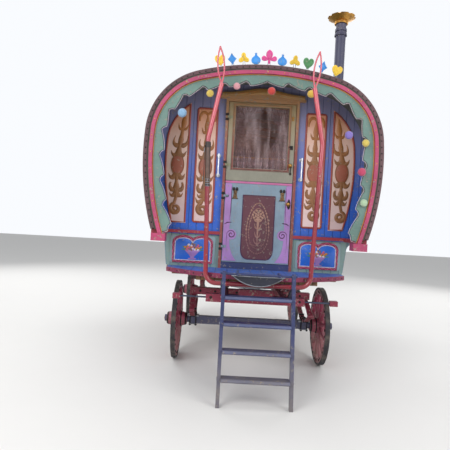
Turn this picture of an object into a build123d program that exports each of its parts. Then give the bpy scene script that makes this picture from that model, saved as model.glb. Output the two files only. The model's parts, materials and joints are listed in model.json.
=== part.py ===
# Bow-top living wagon (vardo) parked with its shafts raised and its ladder hung on the porch.
# Millimetres, +Z up, ground at Z 0. The front of the wagon faces -Y, and +X is its right as seen from the front.
# While it is drawn, Y runs from the outer face of the front wall; finish() then centres the whole length on Y 0.
from build123d import *
from math import acos, asin, atan2, cos, degrees, radians, sin, sqrt
import os

# Gaps between pieces
SEAT = 0.3
RUNNING = 1.0

# Body
BODY_LENGTH = 3200.0
FLOOR_TOP = 1150.0
FLOOR_THICK = 45.0
FLOOR_HALF = 960.0
LEDGE_HALF = 998.0
LEDGE_BOTTOM = 1505.0
LEDGE_THICK = 40.0
LEDGE_INNER = 960.0
LEDGE_OUTER = 1082.0
WALL = 28.0
RIB_COUNT = 9
RIB_WIDTH = 36.0
RIB_PROUD = 14.0
RIB_BEVEL = 8.0
RIB_BRACKET_DROP = 105.0
RIB_BRACKET_SHY = 10.0
RIB_BRACKET_LIP = 16.0
FRONT_OVERHANG = 450.0
REAR_OVERHANG = 200.0

# Bow of the roof: three tangent arcs a side, about centres worked out below
CROWN_Z = 3175.0
TOP_RADIUS = 2600.0
SHOULDER_RADIUS = 620.0
SIDE_RADIUS = 2600.0
TOP_ANGLE = 15.0
SIDE_ANGLE = 85.0
COVER_THICK = 50.0
COVER_LAP = 4.0
BOW_DEPTH = 38.0
BOW_WIDTH = 40.0
BOW_COUNT = 5

# Fascia boards and their mouldings
FASCIA_THICK = 25.0
FASCIA_CUSP = 96.0
FASCIA_BELLY = 142.0
FASCIA_LIP = 0.24
FASCIA_HOLLOW_RISE = 0.35
FASCIA_HOLLOW_RUN = 0.65
FASCIA_SWELL = 0.72
FASCIA_WAVES = (("side", 4), ("shoulder", 3), ("top", 3))
FASCIA_FOOT = LEDGE_BOTTOM + 2.0
MOULDING_WIDTH = 36.0
MOULDING_THICK = 25.0
BLOCK_SIZE = 140.0
BLOCK_HEIGHT = 76.0
BLOCK_X = 1005.0

# Door and its frame
DOOR_HALF = 370.0
JAMB = 30.0
FRAME_FRONT = 30.0
DOOR_TOP = 2970.0
DOOR_SPLIT = 2110.0
DOOR_GAP = 5.0
DOOR_THICK = 35.0
DOOR_FACE = 20.0
THRESHOLD_TOP = 1218.0
DOOR_STILE = 73.0
DOOR_RAIL = 142.0
DOOR_HEAD = 40.0
GLASS = 5.0
LINTEL_HALF = 465.0
LINTEL_HEIGHT = 56.0
LINTEL_RISE = 34.0
LINTEL_PROUD = 16.0
HINGE_OUT = 2.5
HINGE_END = 170.0
HINGE_PIN = 4.0
HINGE_BARREL = 7.0
KNUCKLE = 26.0
KNUCKLE_LEAF = 30.0
KNUCKLE_THICK = 5.0
CRANK_START = 12.0
CRANK_END = 18.0
STRAP_LENGTH = 52.0
STRAP_HEIGHT = 30.0
STRAP_THICK = 4.0
KNOB_INSET = 38.0
KNOB_DROP = 230.0
KNOB_RISE = 190.0
KNOB_RADIUS = 20.0
KNOB_STEM = 34.0
KNOB_STEM_RADIUS = 9.0
ROSE_RADIUS = 22.0
ROSE_THICK = 5.0

# Rear window
REAR_WINDOW_HALF = 300.0
REAR_WINDOW_LOW = 2050.0
REAR_WINDOW_HIGH = 2620.0
REAR_FRAME = 45.0
REAR_FRAME_PROUD = 22.0
SASH_PROUD = 8.0
SASH_RAIL = 40.0
SASH_BAR = 36.0
SASH_CROSSBAR = 18.0

# Panels on the front wall
PANEL_PROUD = 8.0
INNER_PANEL = (480.0, 710.0, 1630.0, 2890.0)
OUTER_PANEL = (780.0, 1620.0, 100.0)
LOWER_PANEL = (440.0, 930.0, 1182.0, 1488.0)
PANEL_CORNER = 30.0
RAIL_DROP = 34.0
RAIL_PROUD = 26.0

# Chassis
SILL_X = 300.0
SILL_WIDTH = 60.0
SILL_BOTTOM = 1000.0
SILL_TOP = 1060.0
SILL_FRONT = -440.0
CROSS_WIDTH = 70.0
CROSS_COUNT = 5
CROSS_INSET = 60.0
UPRIGHT_X = 690.0
UPRIGHT = 30.0
BOLSTER_HALF = 720.0
BOLSTER_WIDTH = 90.0
BOLSTER_HEIGHT = 80.0

# Axles, springs and wheels
TRACK_HALF = 865.0
FRONT_AXLE_Y = 540.0
REAR_AXLE_Y = 2660.0
FRONT_RADIUS = 460.0
REAR_RADIUS = 510.0
FRONT_SPOKES = 12
REAR_SPOKES = 14
TYRE_DEPTH = 24.0
TYRE_WIDTH = 50.0
FELLOE_DEPTH = 58.0
FELLOE_WIDTH = 46.0
HUB_LENGTH = 240.0
HUB_RADIUS = 92.0
HUB_END_RADIUS = 64.0
SPOKE_ROOT = (52.0, 44.0)
SPOKE_TIP = (36.0, 30.0)
SPOKE_CHAMFER = 0.28
SPOKE_SUNK = 10.0
AXLE_ARM = 25.0
AXLE_HALF_HEIGHT = 45.0
AXLE_WIDTH = 80.0
AXLE_BEAM_HALF = 700.0
NUT_RADIUS = 40.0
NUT_LENGTH = 26.0
SPRING_X = 670.0
SPRING_WIDTH = 55.0
SPRING_HALF = 370.0
SPRING_SAG = 100.0
LEAF = 8.0
LEAVES = 4
SPRING_EYE = 16.0

# Forecarriage
RING_OUTER = 345.0
RING_INNER = 295.0
RING_THICK = 20.0
FUTCHELL_HEIGHT = 60.0
FUTCHELL_REAR = 950.0
KINGPIN = 20.0
KINGPIN_HEAD = 34.0
KINGPIN_HEAD_THICK = 20.0
KINGPIN_DROP = 30.0
FUTCHELL_TIE = 70.0
SPLINTER_Y = -350.0
SPLINTER_HALF = 500.0
SPLINTER_REACH = 838.0
SPLINTER_WIDTH = 80.0
SPLINTER_BLOCK = 78.0
SPLINTER_BLOCK_SIDE = 64.0
SPLINTER_BLOCK_HEIGHT = 52.0
SPLINTER_ROD = 9.0
DRAUGHT_BLOCK_HALF = 170.0
DRAUGHT_BLOCK_HEIGHT = 60.0
DRAUGHT_BORE = 10.0

# Shafts: one bent tube, hinged on its own bottom bar
SHAFT_RADIUS = 22.0
SHAFT_Y = -585.0
SHAFT_Z = 1055.0
SHAFT_HALF = 505.0
SHAFT_BEND = 105.0
SHAFT_BELLY_HALF = 552.0
SHAFT_BELLY_Z = 2450.0
SHAFT_TIP_HALF = 450.0
SHAFT_TIP_Z = 2985.0
LOOP_RISE = 350.0
LOOP_OUT = 32.0
LOOP_ROD = 8.0
BRACKET_X = 345.0
BRACKET_THICK = 24.0
BRACKET_WALL = 14.0
BRACKET_NECK = 4.0
HANGER_Z = 2380.0
HANGER_HEIGHT = 42.0
HANGER_THICK = 5.0
HANGER_DROP = 430.0
HANGER_WIDTH = 32.0

# Porch and ladder
PORCH_CLEARANCE = 26.0
PORCH_EDGE = 14.0
PORCH_HALF = 940.0
APRON_HALF = 262.0
APRON_DROP = 104.0
APRON_THICK = 12.0
LADDER_BAR_OUT = 43.0
LADDER_BAR_RISE = 15.0
LADDER_BAR = 11.0
LADDER_BAR_HALF = 362.0
BAR_BRACKET_X = 200.0
BAR_BRACKET_BACK = 160.0
BAR_BRACKET_WIDTH = 16.0
BAR_BRACKET_WALL = 6.0
LADDER_TOP_HALF = 328.0
LADDER_RAIL = 34.0
LADDER_DEPTH = 50.0
LADDER_LEAN = 230.0
TREAD_HEIGHTS = (235.0, 475.0, 715.0, 950.0)
TREAD_DEPTH = 120.0
TREAD_THICK = 28.0

# Stove and chimney
CHIMNEY_X = 860.0
CHIMNEY_Y = 220.0
CHIMNEY_RADIUS = 57.0
CHIMNEY_WALL = 3.0
CHIMNEY_TOP = 4040.0
CROWN_RADIUS = 155.0
CROWN_HEIGHT = 48.0
CROWN_DROP = 30.0
CROWN_BASE = 12.0
CROWN_WAIST = 40.0
CROWN_LIP = 8.0
CROWN_SEAT = 18.0
PETAL_NOTCH = 26.0
PETALS = 8
FLASHING_RADIUS = 95.0
FLASHING_THICK = 7.0
COLLAR_DROP = 130.0
COLLAR_PROUD = 9.0
COLLAR_HEIGHT = 26.0
STOVE_HALF = 130.0
STOVE_HEIGHT = 520.0
STOVE_LEG = 90.0
STOVE_LEG_RADIUS = 12.0
STOVE_LEG_INSET = 20.0
STOVE_DEPTH = 320.0
STOVE_BACK = 40.0

# Grab handles
GRAB_X = 452.0
GRAB_LOW = 2140.0
GRAB_HIGH = 2390.0
GRAB_RADIUS = 9.0
GRAB_STAND = 48.0
GRAB_FOOT = 20.0
GRAB_ROSE = 18.0
GRAB_ROSE_THICK = 6.0

# Places that follow from the sizes above
WINDOW_HALF = DOOR_HALF - DOOR_GAP - DOOR_STILE
WINDOW_LOW = DOOR_SPLIT + DOOR_RAIL
WINDOW_HIGH = DOOR_TOP - DOOR_HEAD
HINGE_X = -(DOOR_HALF + HINGE_OUT)
HINGE_Y = -FRAME_FRONT
LEDGE_TOP = LEDGE_BOTTOM + LEDGE_THICK
FLOOR_BOTTOM = FLOOR_TOP - FLOOR_THICK
TOP_CENTRE_Z = CROWN_Z - TOP_RADIUS
SHOULDER_X = (TOP_RADIUS - SHOULDER_RADIUS) * sin(radians(TOP_ANGLE))
SHOULDER_Z = TOP_CENTRE_Z + (TOP_RADIUS - SHOULDER_RADIUS) * cos(radians(TOP_ANGLE))
SIDE_X = SHOULDER_X - (SIDE_RADIUS - SHOULDER_RADIUS) * sin(radians(SIDE_ANGLE))
SIDE_Z = SHOULDER_Z - (SIDE_RADIUS - SHOULDER_RADIUS) * cos(radians(SIDE_ANGLE))
SPRING_HEIGHT = 2 * (SPRING_SAG + LEAVES * LEAF)
FRONT_BOLSTER_Z = FRONT_RADIUS + AXLE_HALF_HEIGHT + SPRING_HEIGHT
REAR_BOLSTER_Z = REAR_RADIUS + AXLE_HALF_HEIGHT + SPRING_HEIGHT
FUTCHELL_Z = FRONT_BOLSTER_Z + BOLSTER_HEIGHT
RING_Z = FUTCHELL_Z + FUTCHELL_HEIGHT
UPPER_RING_Z = RING_Z + RING_THICK + SEAT
UPPER_BOLSTER_Z = UPPER_RING_Z + RING_THICK
PORCH_RADIUS = sqrt(SHAFT_HALF ** 2 + (FRONT_AXLE_Y - SHAFT_Y) ** 2) - SHAFT_RADIUS - PORCH_CLEARANCE
PORCH_FRONT = FRONT_AXLE_Y - PORCH_RADIUS
LADDER_BAR_Y = PORCH_FRONT - APRON_THICK - LADDER_BAR_OUT
LADDER_BAR_Z = FLOOR_TOP + LADDER_BAR_RISE
LADDER_FOOT_Y = LADDER_BAR_Y - LADDER_LEAN
REAR_END = BODY_LENGTH + REAR_OVERHANG
FRONT_END = LADDER_FOOT_Y - LADDER_DEPTH / 2
Y_SHIFT = -(REAR_END + FRONT_END) / 2

PIECES = {}


def keep(name, shape):
    """Puts a piece on the list of files, under its own name."""
    PIECES[name] = shape


def both_sides(shape):
    """The shape and its mirror image on the other side of the wagon."""
    return shape + mirror(shape, Plane.YZ)


def block(x0, x1, y0, y1, z0, z1):
    """A rectangular block between two corners."""
    return Pos((x0 + x1) / 2, (y0 + y1) / 2, (z0 + z1) / 2) * Box(x1 - x0, y1 - y0, z1 - z0)


def across(face, y0, y1):
    """A board cut to a face drawn in X and Z, from y0 to y1."""
    return Pos(0, y1, 0) * Rot(90, 0, 0) * extrude(face, amount=y1 - y0)


def along(face, x0, x1):
    """A bar with its side view drawn in Y and Z, from x0 to x1."""
    return Pos(x0, 0, 0) * Rot(0, 0, 90) * Rot(90, 0, 0) * extrude(face, amount=x1 - x0)


def rod(start, end, radius):
    """A round bar between two points."""
    path = Line(start, end)
    return sweep(Plane(origin=start, z_dir=path % 0) * Circle(radius), path=path)


def drum(x, y, z, radius, length):
    """A cylinder along X, centred on its point."""
    return Pos(x, y, z) * Rot(0, 90, 0) * Cylinder(radius, length)


def bow_point(offset, angle):
    """A point of the bow, at an angle from straight up, offset outwards from the outer face of the bows."""
    turn = radians(abs(angle))
    if abs(angle) <= TOP_ANGLE:
        x, z, radius = 0.0, TOP_CENTRE_Z, TOP_RADIUS
    elif abs(angle) <= SIDE_ANGLE:
        x, z, radius = SHOULDER_X, SHOULDER_Z, SHOULDER_RADIUS
    else:
        x, z, radius = SIDE_X, SIDE_Z, SIDE_RADIUS
    x = x + (radius + offset) * sin(turn)
    return (x if angle >= 0 else -x, z + (radius + offset) * cos(turn))


def foot_angle(offset, foot):
    """The angle at which the bow, so offset, comes down to a height."""
    return degrees(acos((foot - SIDE_Z) / (SIDE_RADIUS + offset)))


def bow_line(offset, foot):
    """The bow as five tangent arcs, from its right foot over the crown to its left foot."""
    low = foot_angle(offset, foot)
    knots = [low, SIDE_ANGLE, TOP_ANGLE, -TOP_ANGLE, -SIDE_ANGLE, -low]
    return arcs_between(knots, offset)


def arcs_between(knots, offset):
    """Arcs from knot to knot along the bow, all at one offset."""
    return [
        ThreePointArc(bow_point(offset, a), bow_point(offset, (a + b) / 2), bow_point(offset, b))
        for a, b in zip(knots, knots[1:])
    ]


def wave(cusp, belly, start, end):
    """One wave along the bow: a short hollow lip from the cusp in to the belly, then a long swell back out."""
    lip = start + (end - start) * FASCIA_LIP
    hollow = bow_point(cusp + (belly - cusp) * FASCIA_HOLLOW_RISE, start + (lip - start) * FASCIA_HOLLOW_RUN)
    swell = bow_point(cusp + (belly - cusp) * FASCIA_SWELL, (lip + end) / 2)
    return [
        ThreePointArc(bow_point(cusp, start), hollow, bow_point(belly, lip)),
        ThreePointArc(bow_point(belly, lip), swell, bow_point(cusp, end)),
    ]


def bow_face(offset, foot):
    """The flat region under the bow, down to a height."""
    edges = bow_line(offset, foot)
    return make_face(edges + [Line(edges[-1] @ 1, edges[0] @ 0)])


def bow_band(outer, inner, foot):
    """The flat band between two offsets of the bow."""
    return bow_face(outer, foot) - bow_face(inner, foot)


def wall_face():
    """An end wall: the flared lower box, a notch for each ledge, and the bow above."""
    bow = bow_line(-SEAT, LEDGE_TOP)
    right, left = bow[0] @ 0, bow[-1] @ 1
    notch = LEDGE_INNER - SEAT
    steps = Polyline(
        (left.X, left.Y), (-notch, LEDGE_TOP), (-notch, LEDGE_BOTTOM), (-LEDGE_HALF, LEDGE_BOTTOM),
        (-FLOOR_HALF, FLOOR_TOP), (FLOOR_HALF, FLOOR_TOP), (LEDGE_HALF, LEDGE_BOTTOM),
        (notch, LEDGE_BOTTOM), (notch, LEDGE_TOP), (right.X, right.Y),
    )
    return make_face(bow + [steps])


def rectangle(x0, x1, z0, z1):
    """A flat rectangle between two corners."""
    return Pos((x0 + x1) / 2, (z0 + z1) / 2) * Rectangle(x1 - x0, z1 - z0)


def make_floor_and_chassis():
    keep("floor_boards", block(-FLOOR_HALF, FLOOR_HALF, 0, BODY_LENGTH, FLOOR_BOTTOM, FLOOR_TOP))
    half = SILL_WIDTH / 2
    sill = block(SILL_X - half, SILL_X + half, SILL_FRONT, BODY_LENGTH, SILL_BOTTOM, SILL_TOP)
    keep("chassis_sills", both_sides(sill))
    reach = FLOOR_HALF - CROSS_INSET
    spacing = (BODY_LENGTH - CROSS_WIDTH) / (CROSS_COUNT - 1)
    porch = sqrt(PORCH_RADIUS ** 2 - (FRONT_AXLE_Y - SILL_FRONT) ** 2) - CROSS_INSET
    bearers = block(-porch, porch, SILL_FRONT, SILL_FRONT + CROSS_WIDTH, SILL_TOP + SEAT, FLOOR_BOTTOM)
    for number in range(CROSS_COUNT):
        y = number * spacing
        bearers += block(-reach, reach, y, y + CROSS_WIDTH, SILL_TOP + SEAT, FLOOR_BOTTOM)
    keep("floor_bearers", bearers)


def make_bolsters():
    """Beams that carry the sills over each axle, with an iron upright to the floor at each end."""
    half = BOLSTER_WIDTH / 2
    front_y0, front_y1 = FRONT_AXLE_Y - half, FRONT_AXLE_Y + half
    front = block(-BOLSTER_HALF, BOLSTER_HALF, front_y0, front_y1, UPPER_BOLSTER_Z, SILL_BOTTOM)
    front -= Pos(0, FRONT_AXLE_Y, UPPER_BOLSTER_Z) * Cylinder(KINGPIN + SEAT, BODY_LENGTH)
    rear_top = REAR_BOLSTER_Z + BOLSTER_HEIGHT
    rear_y0, rear_y1 = REAR_AXLE_Y - half, REAR_AXLE_Y + half
    rear = block(-BOLSTER_HALF, BOLSTER_HALF, rear_y0, rear_y1, REAR_BOLSTER_Z, rear_top)
    packing = SILL_WIDTH / 2
    rear += both_sides(block(SILL_X - packing, SILL_X + packing, rear_y0, rear_y1, rear_top, SILL_BOTTOM))
    both = front + rear
    for y, low in ((FRONT_AXLE_Y, SILL_BOTTOM), (REAR_AXLE_Y, rear_top)):
        x0, x1 = UPRIGHT_X - UPRIGHT / 2, UPRIGHT_X + UPRIGHT / 2
        both += both_sides(block(x0, x1, y - UPRIGHT / 2, y + UPRIGHT / 2, low, FLOOR_BOTTOM - SEAT))
    keep("top_bolsters", both)


def side_rib():
    """The outline of a rib on a flared side, which hollows out at its head into a bracket under the ledge."""
    slope = (LEDGE_HALF - FLOOR_HALF) / (LEDGE_BOTTOM - FLOOR_TOP)
    neck_z = LEDGE_BOTTOM - RIB_BRACKET_DROP
    neck_x = LEDGE_HALF + RIB_PROUD - RIB_BRACKET_DROP * slope
    tip_x, tip_z = LEDGE_OUTER - RIB_BRACKET_SHY, LEDGE_BOTTOM - RIB_BRACKET_LIP
    hollow = ((neck_x * 2 + tip_x) / 3, (neck_z + tip_z * 2) / 3)
    edges = Polyline((neck_x, neck_z), (FLOOR_HALF + RIB_PROUD, FLOOR_TOP + RIB_BEVEL),
                     (FLOOR_HALF + RIB_PROUD - RIB_BEVEL, FLOOR_TOP), (FLOOR_HALF, FLOOR_TOP),
                     (LEDGE_HALF, LEDGE_BOTTOM), (tip_x, LEDGE_BOTTOM), (tip_x, tip_z))
    return make_face([edges, ThreePointArc((tip_x, tip_z), hollow, (neck_x, neck_z))])


def make_lower_sides():
    """The flared boards between floor and ledge, each with a row of ribs outside it."""
    board = make_face(Polyline(
        (FLOOR_HALF, FLOOR_TOP), (LEDGE_HALF, LEDGE_BOTTOM), (LEDGE_HALF - WALL, LEDGE_BOTTOM),
        (FLOOR_HALF - WALL, FLOOR_TOP), (FLOOR_HALF, FLOOR_TOP),
    ))
    side = across(board, WALL + SEAT, BODY_LENGTH - WALL - SEAT)
    pitch = (BODY_LENGTH - 2 * WALL - 2 * SEAT - RIB_WIDTH) / (RIB_COUNT - 1)
    for number in range(RIB_COUNT):
        y = WALL + SEAT + number * pitch
        side += across(side_rib(), y, y + RIB_WIDTH)
    keep("lower_sides", both_sides(side))


def make_ledges():
    front, rear = -FRONT_OVERHANG + FASCIA_THICK, REAR_END - FASCIA_THICK
    ledge = block(LEDGE_INNER, LEDGE_OUTER, front, rear, LEDGE_BOTTOM, LEDGE_TOP)
    jamb = DOOR_HALF + JAMB + SEAT
    rail = block(jamb, LEDGE_INNER - SEAT, -RAIL_PROUD, 0, LEDGE_TOP - RAIL_DROP, LEDGE_TOP)
    keep("ledge_rails", both_sides(ledge) + both_sides(rail))


def make_end_walls():
    jamb = DOOR_HALF + JAMB + SEAT
    doorway = rectangle(-jamb, jamb, FLOOR_TOP - 1, DOOR_TOP + JAMB + SEAT)
    keep("front_wall", across(wall_face() - doorway, 0, WALL))
    low, high = REAR_WINDOW_LOW, REAR_WINDOW_HIGH
    hole = rectangle(-REAR_WINDOW_HALF, REAR_WINDOW_HALF, low, high)
    keep("rear_wall", across(wall_face() - hole, BODY_LENGTH - WALL, BODY_LENGTH))
    edge = REAR_WINDOW_HALF + REAR_FRAME
    outer = rectangle(-edge, edge, low - REAR_FRAME, high + REAR_FRAME)
    frame = across(outer - hole, BODY_LENGTH, BODY_LENGTH + REAR_FRAME_PROUD)
    sash = rectangle(-REAR_WINDOW_HALF + SEAT, REAR_WINDOW_HALF - SEAT, low + SEAT, high - SEAT)
    edge = REAR_WINDOW_HALF - SASH_RAIL
    middle = (low + high) / 2
    panes = rectangle(-edge, edge, low + SASH_RAIL, high - SASH_RAIL)
    panes -= rectangle(-SASH_BAR / 2, SASH_BAR / 2, low, high)
    panes -= rectangle(-edge, edge, middle - SASH_CROSSBAR / 2, middle + SASH_CROSSBAR / 2)
    keep("rear_window_frame", frame + across(sash - panes, BODY_LENGTH - WALL, BODY_LENGTH + SASH_PROUD))
    pane = across(offset(panes, amount=-SEAT), BODY_LENGTH - WALL / 2 - GLASS, BODY_LENGTH - WALL / 2)
    keep("rear_window_glass", pane)


def make_roof():
    """The cover is one curved shell on five bows, open at both ends."""
    cover = across(bow_band(COVER_THICK, 0, LEDGE_TOP), -FRONT_OVERHANG - COVER_LAP, REAR_END)
    chimney = Pos(CHIMNEY_X, CHIMNEY_Y, CROWN_Z) * Cylinder(CHIMNEY_RADIUS + SEAT, SHOULDER_RADIUS)
    keep("roof_cover", cover - chimney)
    band = bow_band(-SEAT, -BOW_DEPTH, LEDGE_TOP)
    spacing = BODY_LENGTH / (BOW_COUNT + 1)
    bows = Part()
    for number in range(1, BOW_COUNT + 1):
        y = number * spacing
        bows += across(band, y - BOW_WIDTH / 2, y + BOW_WIDTH / 2)
    keep("roof_bows", bows)


def waved_face():
    """A fascia board: the bow outside, and a row of waves inside that mirror each other about the crown."""
    low = foot_angle(-SEAT, FASCIA_FOOT)
    ends = {"side": (low, SIDE_ANGLE), "shoulder": (SIDE_ANGLE, TOP_ANGLE), "top": (TOP_ANGLE, 0)}
    right = []
    for stretch, count in FASCIA_WAVES:
        start, end = ends[stretch]
        step = (end - start) / count
        for number in range(count):
            right += wave(-FASCIA_CUSP, -FASCIA_BELLY, start + step * number, start + step * (number + 1))
    inner = right + [mirror(arc, Plane.YZ) for arc in reversed(right)]
    outer = bow_line(-SEAT, FASCIA_FOOT)
    foot = Line(outer[0] @ 0, right[0] @ 0)
    return make_face(outer + [foot, mirror(foot, Plane.YZ)] + inner)


def make_fascias():
    board = waved_face()
    front = across(board, -FRONT_OVERHANG, -FRONT_OVERHANG + FASCIA_THICK)
    rear = across(board, REAR_END - FASCIA_THICK, REAR_END)
    keep("fascia_boards", front + rear)
    band = bow_band(-SEAT, -MOULDING_WIDTH, FASCIA_FOOT)
    half = BLOCK_SIZE / 2
    face = -FRONT_OVERHANG - MOULDING_THICK
    moulding = across(band, face, -FRONT_OVERHANG)
    foot = LEDGE_BOTTOM - SEAT
    corner = block(BLOCK_X - half, BLOCK_X + half, face, face + BLOCK_SIZE, foot - BLOCK_HEIGHT, foot)
    keep("fascia_moulding", moulding + both_sides(corner))


def make_front_panels():
    x0, x1, z0, z1 = INNER_PANEL
    inner = Pos((x0 + x1) / 2, (z0 + z1) / 2) * RectangleRounded(x1 - x0, z1 - z0, PANEL_CORNER)
    edge, bottom, inset = OUTER_PANEL
    outer = bow_face(-inset, LEDGE_TOP) & rectangle(edge, edge + LEDGE_OUTER, bottom, CROWN_Z)
    upper = across(inner, -PANEL_PROUD, 0) + across(outer, -PANEL_PROUD, 0)
    x0, x1, z0, z1 = LOWER_PANEL
    lower = Pos((x0 + x1) / 2, (z0 + z1) / 2) * RectangleRounded(x1 - x0, z1 - z0, PANEL_CORNER)
    keep("wall_panels", both_sides(upper + across(lower, -PANEL_PROUD, 0)))


def make_door_frame():
    outer = rectangle(-DOOR_HALF - JAMB, DOOR_HALF + JAMB, FLOOR_TOP, DOOR_TOP + JAMB)
    inner = rectangle(-DOOR_HALF, DOOR_HALF, FLOOR_TOP - 1, DOOR_TOP)
    frame = across(outer - inner, -FRAME_FRONT, WALL)
    low = DOOR_TOP + JAMB
    top = low + LINTEL_HEIGHT
    head = make_face([
        Line((-LINTEL_HALF, low), (LINTEL_HALF, low)),
        Line((LINTEL_HALF, low), (LINTEL_HALF, top - LINTEL_RISE)),
        ThreePointArc((LINTEL_HALF, top - LINTEL_RISE), (0, top), (-LINTEL_HALF, top - LINTEL_RISE)),
        Line((-LINTEL_HALF, top - LINTEL_RISE), (-LINTEL_HALF, low)),
    ])
    keep("door_frame", frame + across(head, -FRAME_FRONT - LINTEL_PROUD, 0))
    keep("threshold", block(-DOOR_HALF + SEAT, DOOR_HALF - SEAT, -FRAME_FRONT, WALL, FLOOR_TOP, THRESHOLD_TOP))


def hinge_rows():
    """Heights of the hinges: two on each leaf."""
    lower = (THRESHOLD_TOP + HINGE_END, DOOR_SPLIT - HINGE_END)
    upper = (DOOR_SPLIT + HINGE_END, DOOR_TOP - HINGE_END)
    return lower, upper


def make_door_hinges():
    """On the frame each hinge has a pin between two knuckles; the leaf's knuckle turns between them."""
    lower, upper = hinge_rows()
    fixed = Part()
    for z in lower + upper:
        fixed += Pos(HINGE_X, HINGE_Y - HINGE_BARREL, z) * Cylinder(HINGE_PIN, 3 * KNUCKLE)
        for side in (-1, 1):
            middle = z + side * KNUCKLE
            half = (KNUCKLE - RUNNING) / 2
            fixed += Pos(HINGE_X, HINGE_Y - HINGE_BARREL, middle) * Cylinder(HINGE_BARREL, 2 * half)
            y = HINGE_Y - KNUCKLE_THICK
            fixed += block(HINGE_X - KNUCKLE_LEAF, HINGE_X, y, HINGE_Y, middle - half, middle + half)
    keep("hinge_knuckles", fixed)


def leaf_straps(heights):
    """The strap of each hinge on the leaf, with the knuckle that turns on the pin."""
    straps = Part()
    axis_y = HINGE_Y - HINGE_BARREL
    plate_y0, plate_y1 = axis_y - STRAP_THICK / 2, axis_y + STRAP_THICK / 2
    crank_x0, crank_x1 = HINGE_X + CRANK_START, HINGE_X + CRANK_END
    for z in heights:
        low, high = z - STRAP_HEIGHT / 2, z + STRAP_HEIGHT / 2
        straps += block(crank_x0, HINGE_X + STRAP_LENGTH, -DOOR_FACE - STRAP_THICK, -DOOR_FACE, low, high)
        low, high = z - KNUCKLE / 2 + RUNNING, z + KNUCKLE / 2 - RUNNING
        straps += block(HINGE_X, crank_x1, plate_y0, plate_y1, low, high)
        straps += block(crank_x0, crank_x1, plate_y0, -DOOR_FACE, low, high)
        straps += Pos(HINGE_X, axis_y, z) * Cylinder(HINGE_BARREL, KNUCKLE - 2 * RUNNING)
        straps -= Pos(HINGE_X, axis_y, z) * Cylinder(HINGE_PIN + SEAT, 3 * KNUCKLE)
    return straps


def make_doors():
    left, right = -DOOR_HALF + DOOR_GAP, DOOR_HALF - DOOR_GAP
    lower_low, lower_high = THRESHOLD_TOP + DOOR_GAP, DOOR_SPLIT - DOOR_GAP / 2
    upper_low, upper_high = DOOR_SPLIT + DOOR_GAP / 2, DOOR_TOP - DOOR_GAP
    y0, y1 = -DOOR_FACE, DOOR_THICK - DOOR_FACE
    lower_rows, upper_rows = hinge_rows()
    keep("door_lower", across(rectangle(left, right, lower_low, lower_high), y0, y1))
    window = rectangle(-WINDOW_HALF, WINDOW_HALF, WINDOW_LOW, WINDOW_HIGH)
    keep("door_upper", across(rectangle(left, right, upper_low, upper_high) - window, y0, y1))
    pane = rectangle(-WINDOW_HALF + SEAT, WINDOW_HALF - SEAT, WINDOW_LOW + SEAT, WINDOW_HIGH - SEAT)
    keep("door_window", across(pane, 0, GLASS))
    knob = Pos(0, -DOOR_FACE - KNOB_STEM / 2, 0) * Rot(90, 0, 0) * Cylinder(KNOB_STEM_RADIUS, KNOB_STEM)
    knob += Pos(0, -DOOR_FACE - KNOB_STEM, 0) * Sphere(KNOB_RADIUS)
    knob += Pos(0, -DOOR_FACE - ROSE_THICK / 2, 0) * Rot(90, 0, 0) * Cylinder(ROSE_RADIUS, ROSE_THICK)
    knob = Pos(right - KNOB_INSET, 0, DOOR_SPLIT) * knob
    keep("door_lower_fittings", leaf_straps(lower_rows) + Pos(0, 0, -KNOB_DROP) * knob)
    keep("door_upper_fittings", leaf_straps(upper_rows) + Pos(0, 0, KNOB_RISE) * knob)


def make_grab_handles():
    """A bar on two short stand-offs each side of the door."""
    bar = rod((GRAB_X, -GRAB_STAND, GRAB_LOW), (GRAB_X, -GRAB_STAND, GRAB_HIGH), GRAB_RADIUS)
    for z in (GRAB_LOW + GRAB_FOOT, GRAB_HIGH - GRAB_FOOT):
        bar += rod((GRAB_X, 0, z), (GRAB_X, -GRAB_STAND, z), GRAB_RADIUS - RUNNING)
        bar += rod((GRAB_X, 0, z), (GRAB_X, -GRAB_ROSE_THICK, z), GRAB_ROSE)
    keep("grab_handles", both_sides(bar))


def make_porch():
    """The porch front is an arc about the kingpin, so the shafts pass it at one distance as they steer."""
    disc = Pos(0, FRONT_AXLE_Y, FLOOR_TOP - FLOOR_THICK / 2)
    strip = block(-PORCH_HALF, PORCH_HALF, -PORCH_RADIUS, 0, FLOOR_BOTTOM, FLOOR_TOP)
    floor = (disc * Cylinder(PORCH_RADIUS - PORCH_EDGE, FLOOR_THICK)) & strip
    ring = disc * (Cylinder(PORCH_RADIUS, FLOOR_THICK) - Cylinder(PORCH_RADIUS - PORCH_EDGE + SEAT, FLOOR_THICK))
    keep("porch_floor", floor)
    keep("porch_edge", ring & strip)
    inner = PORCH_RADIUS + SEAT
    middle = Pos(0, FRONT_AXLE_Y, FLOOR_TOP - APRON_DROP / 2)
    shell = middle * (Cylinder(inner + APRON_THICK, APRON_DROP) - Cylinder(inner, APRON_DROP))
    curve = make_face([
        Line((-APRON_HALF, FLOOR_TOP), (APRON_HALF, FLOOR_TOP)),
        ThreePointArc((APRON_HALF, FLOOR_TOP), (0, FLOOR_TOP - APRON_DROP), (-APRON_HALF, FLOOR_TOP)),
    ])
    keep("porch_apron", shell & across(curve, -PORCH_RADIUS, 0))


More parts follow.
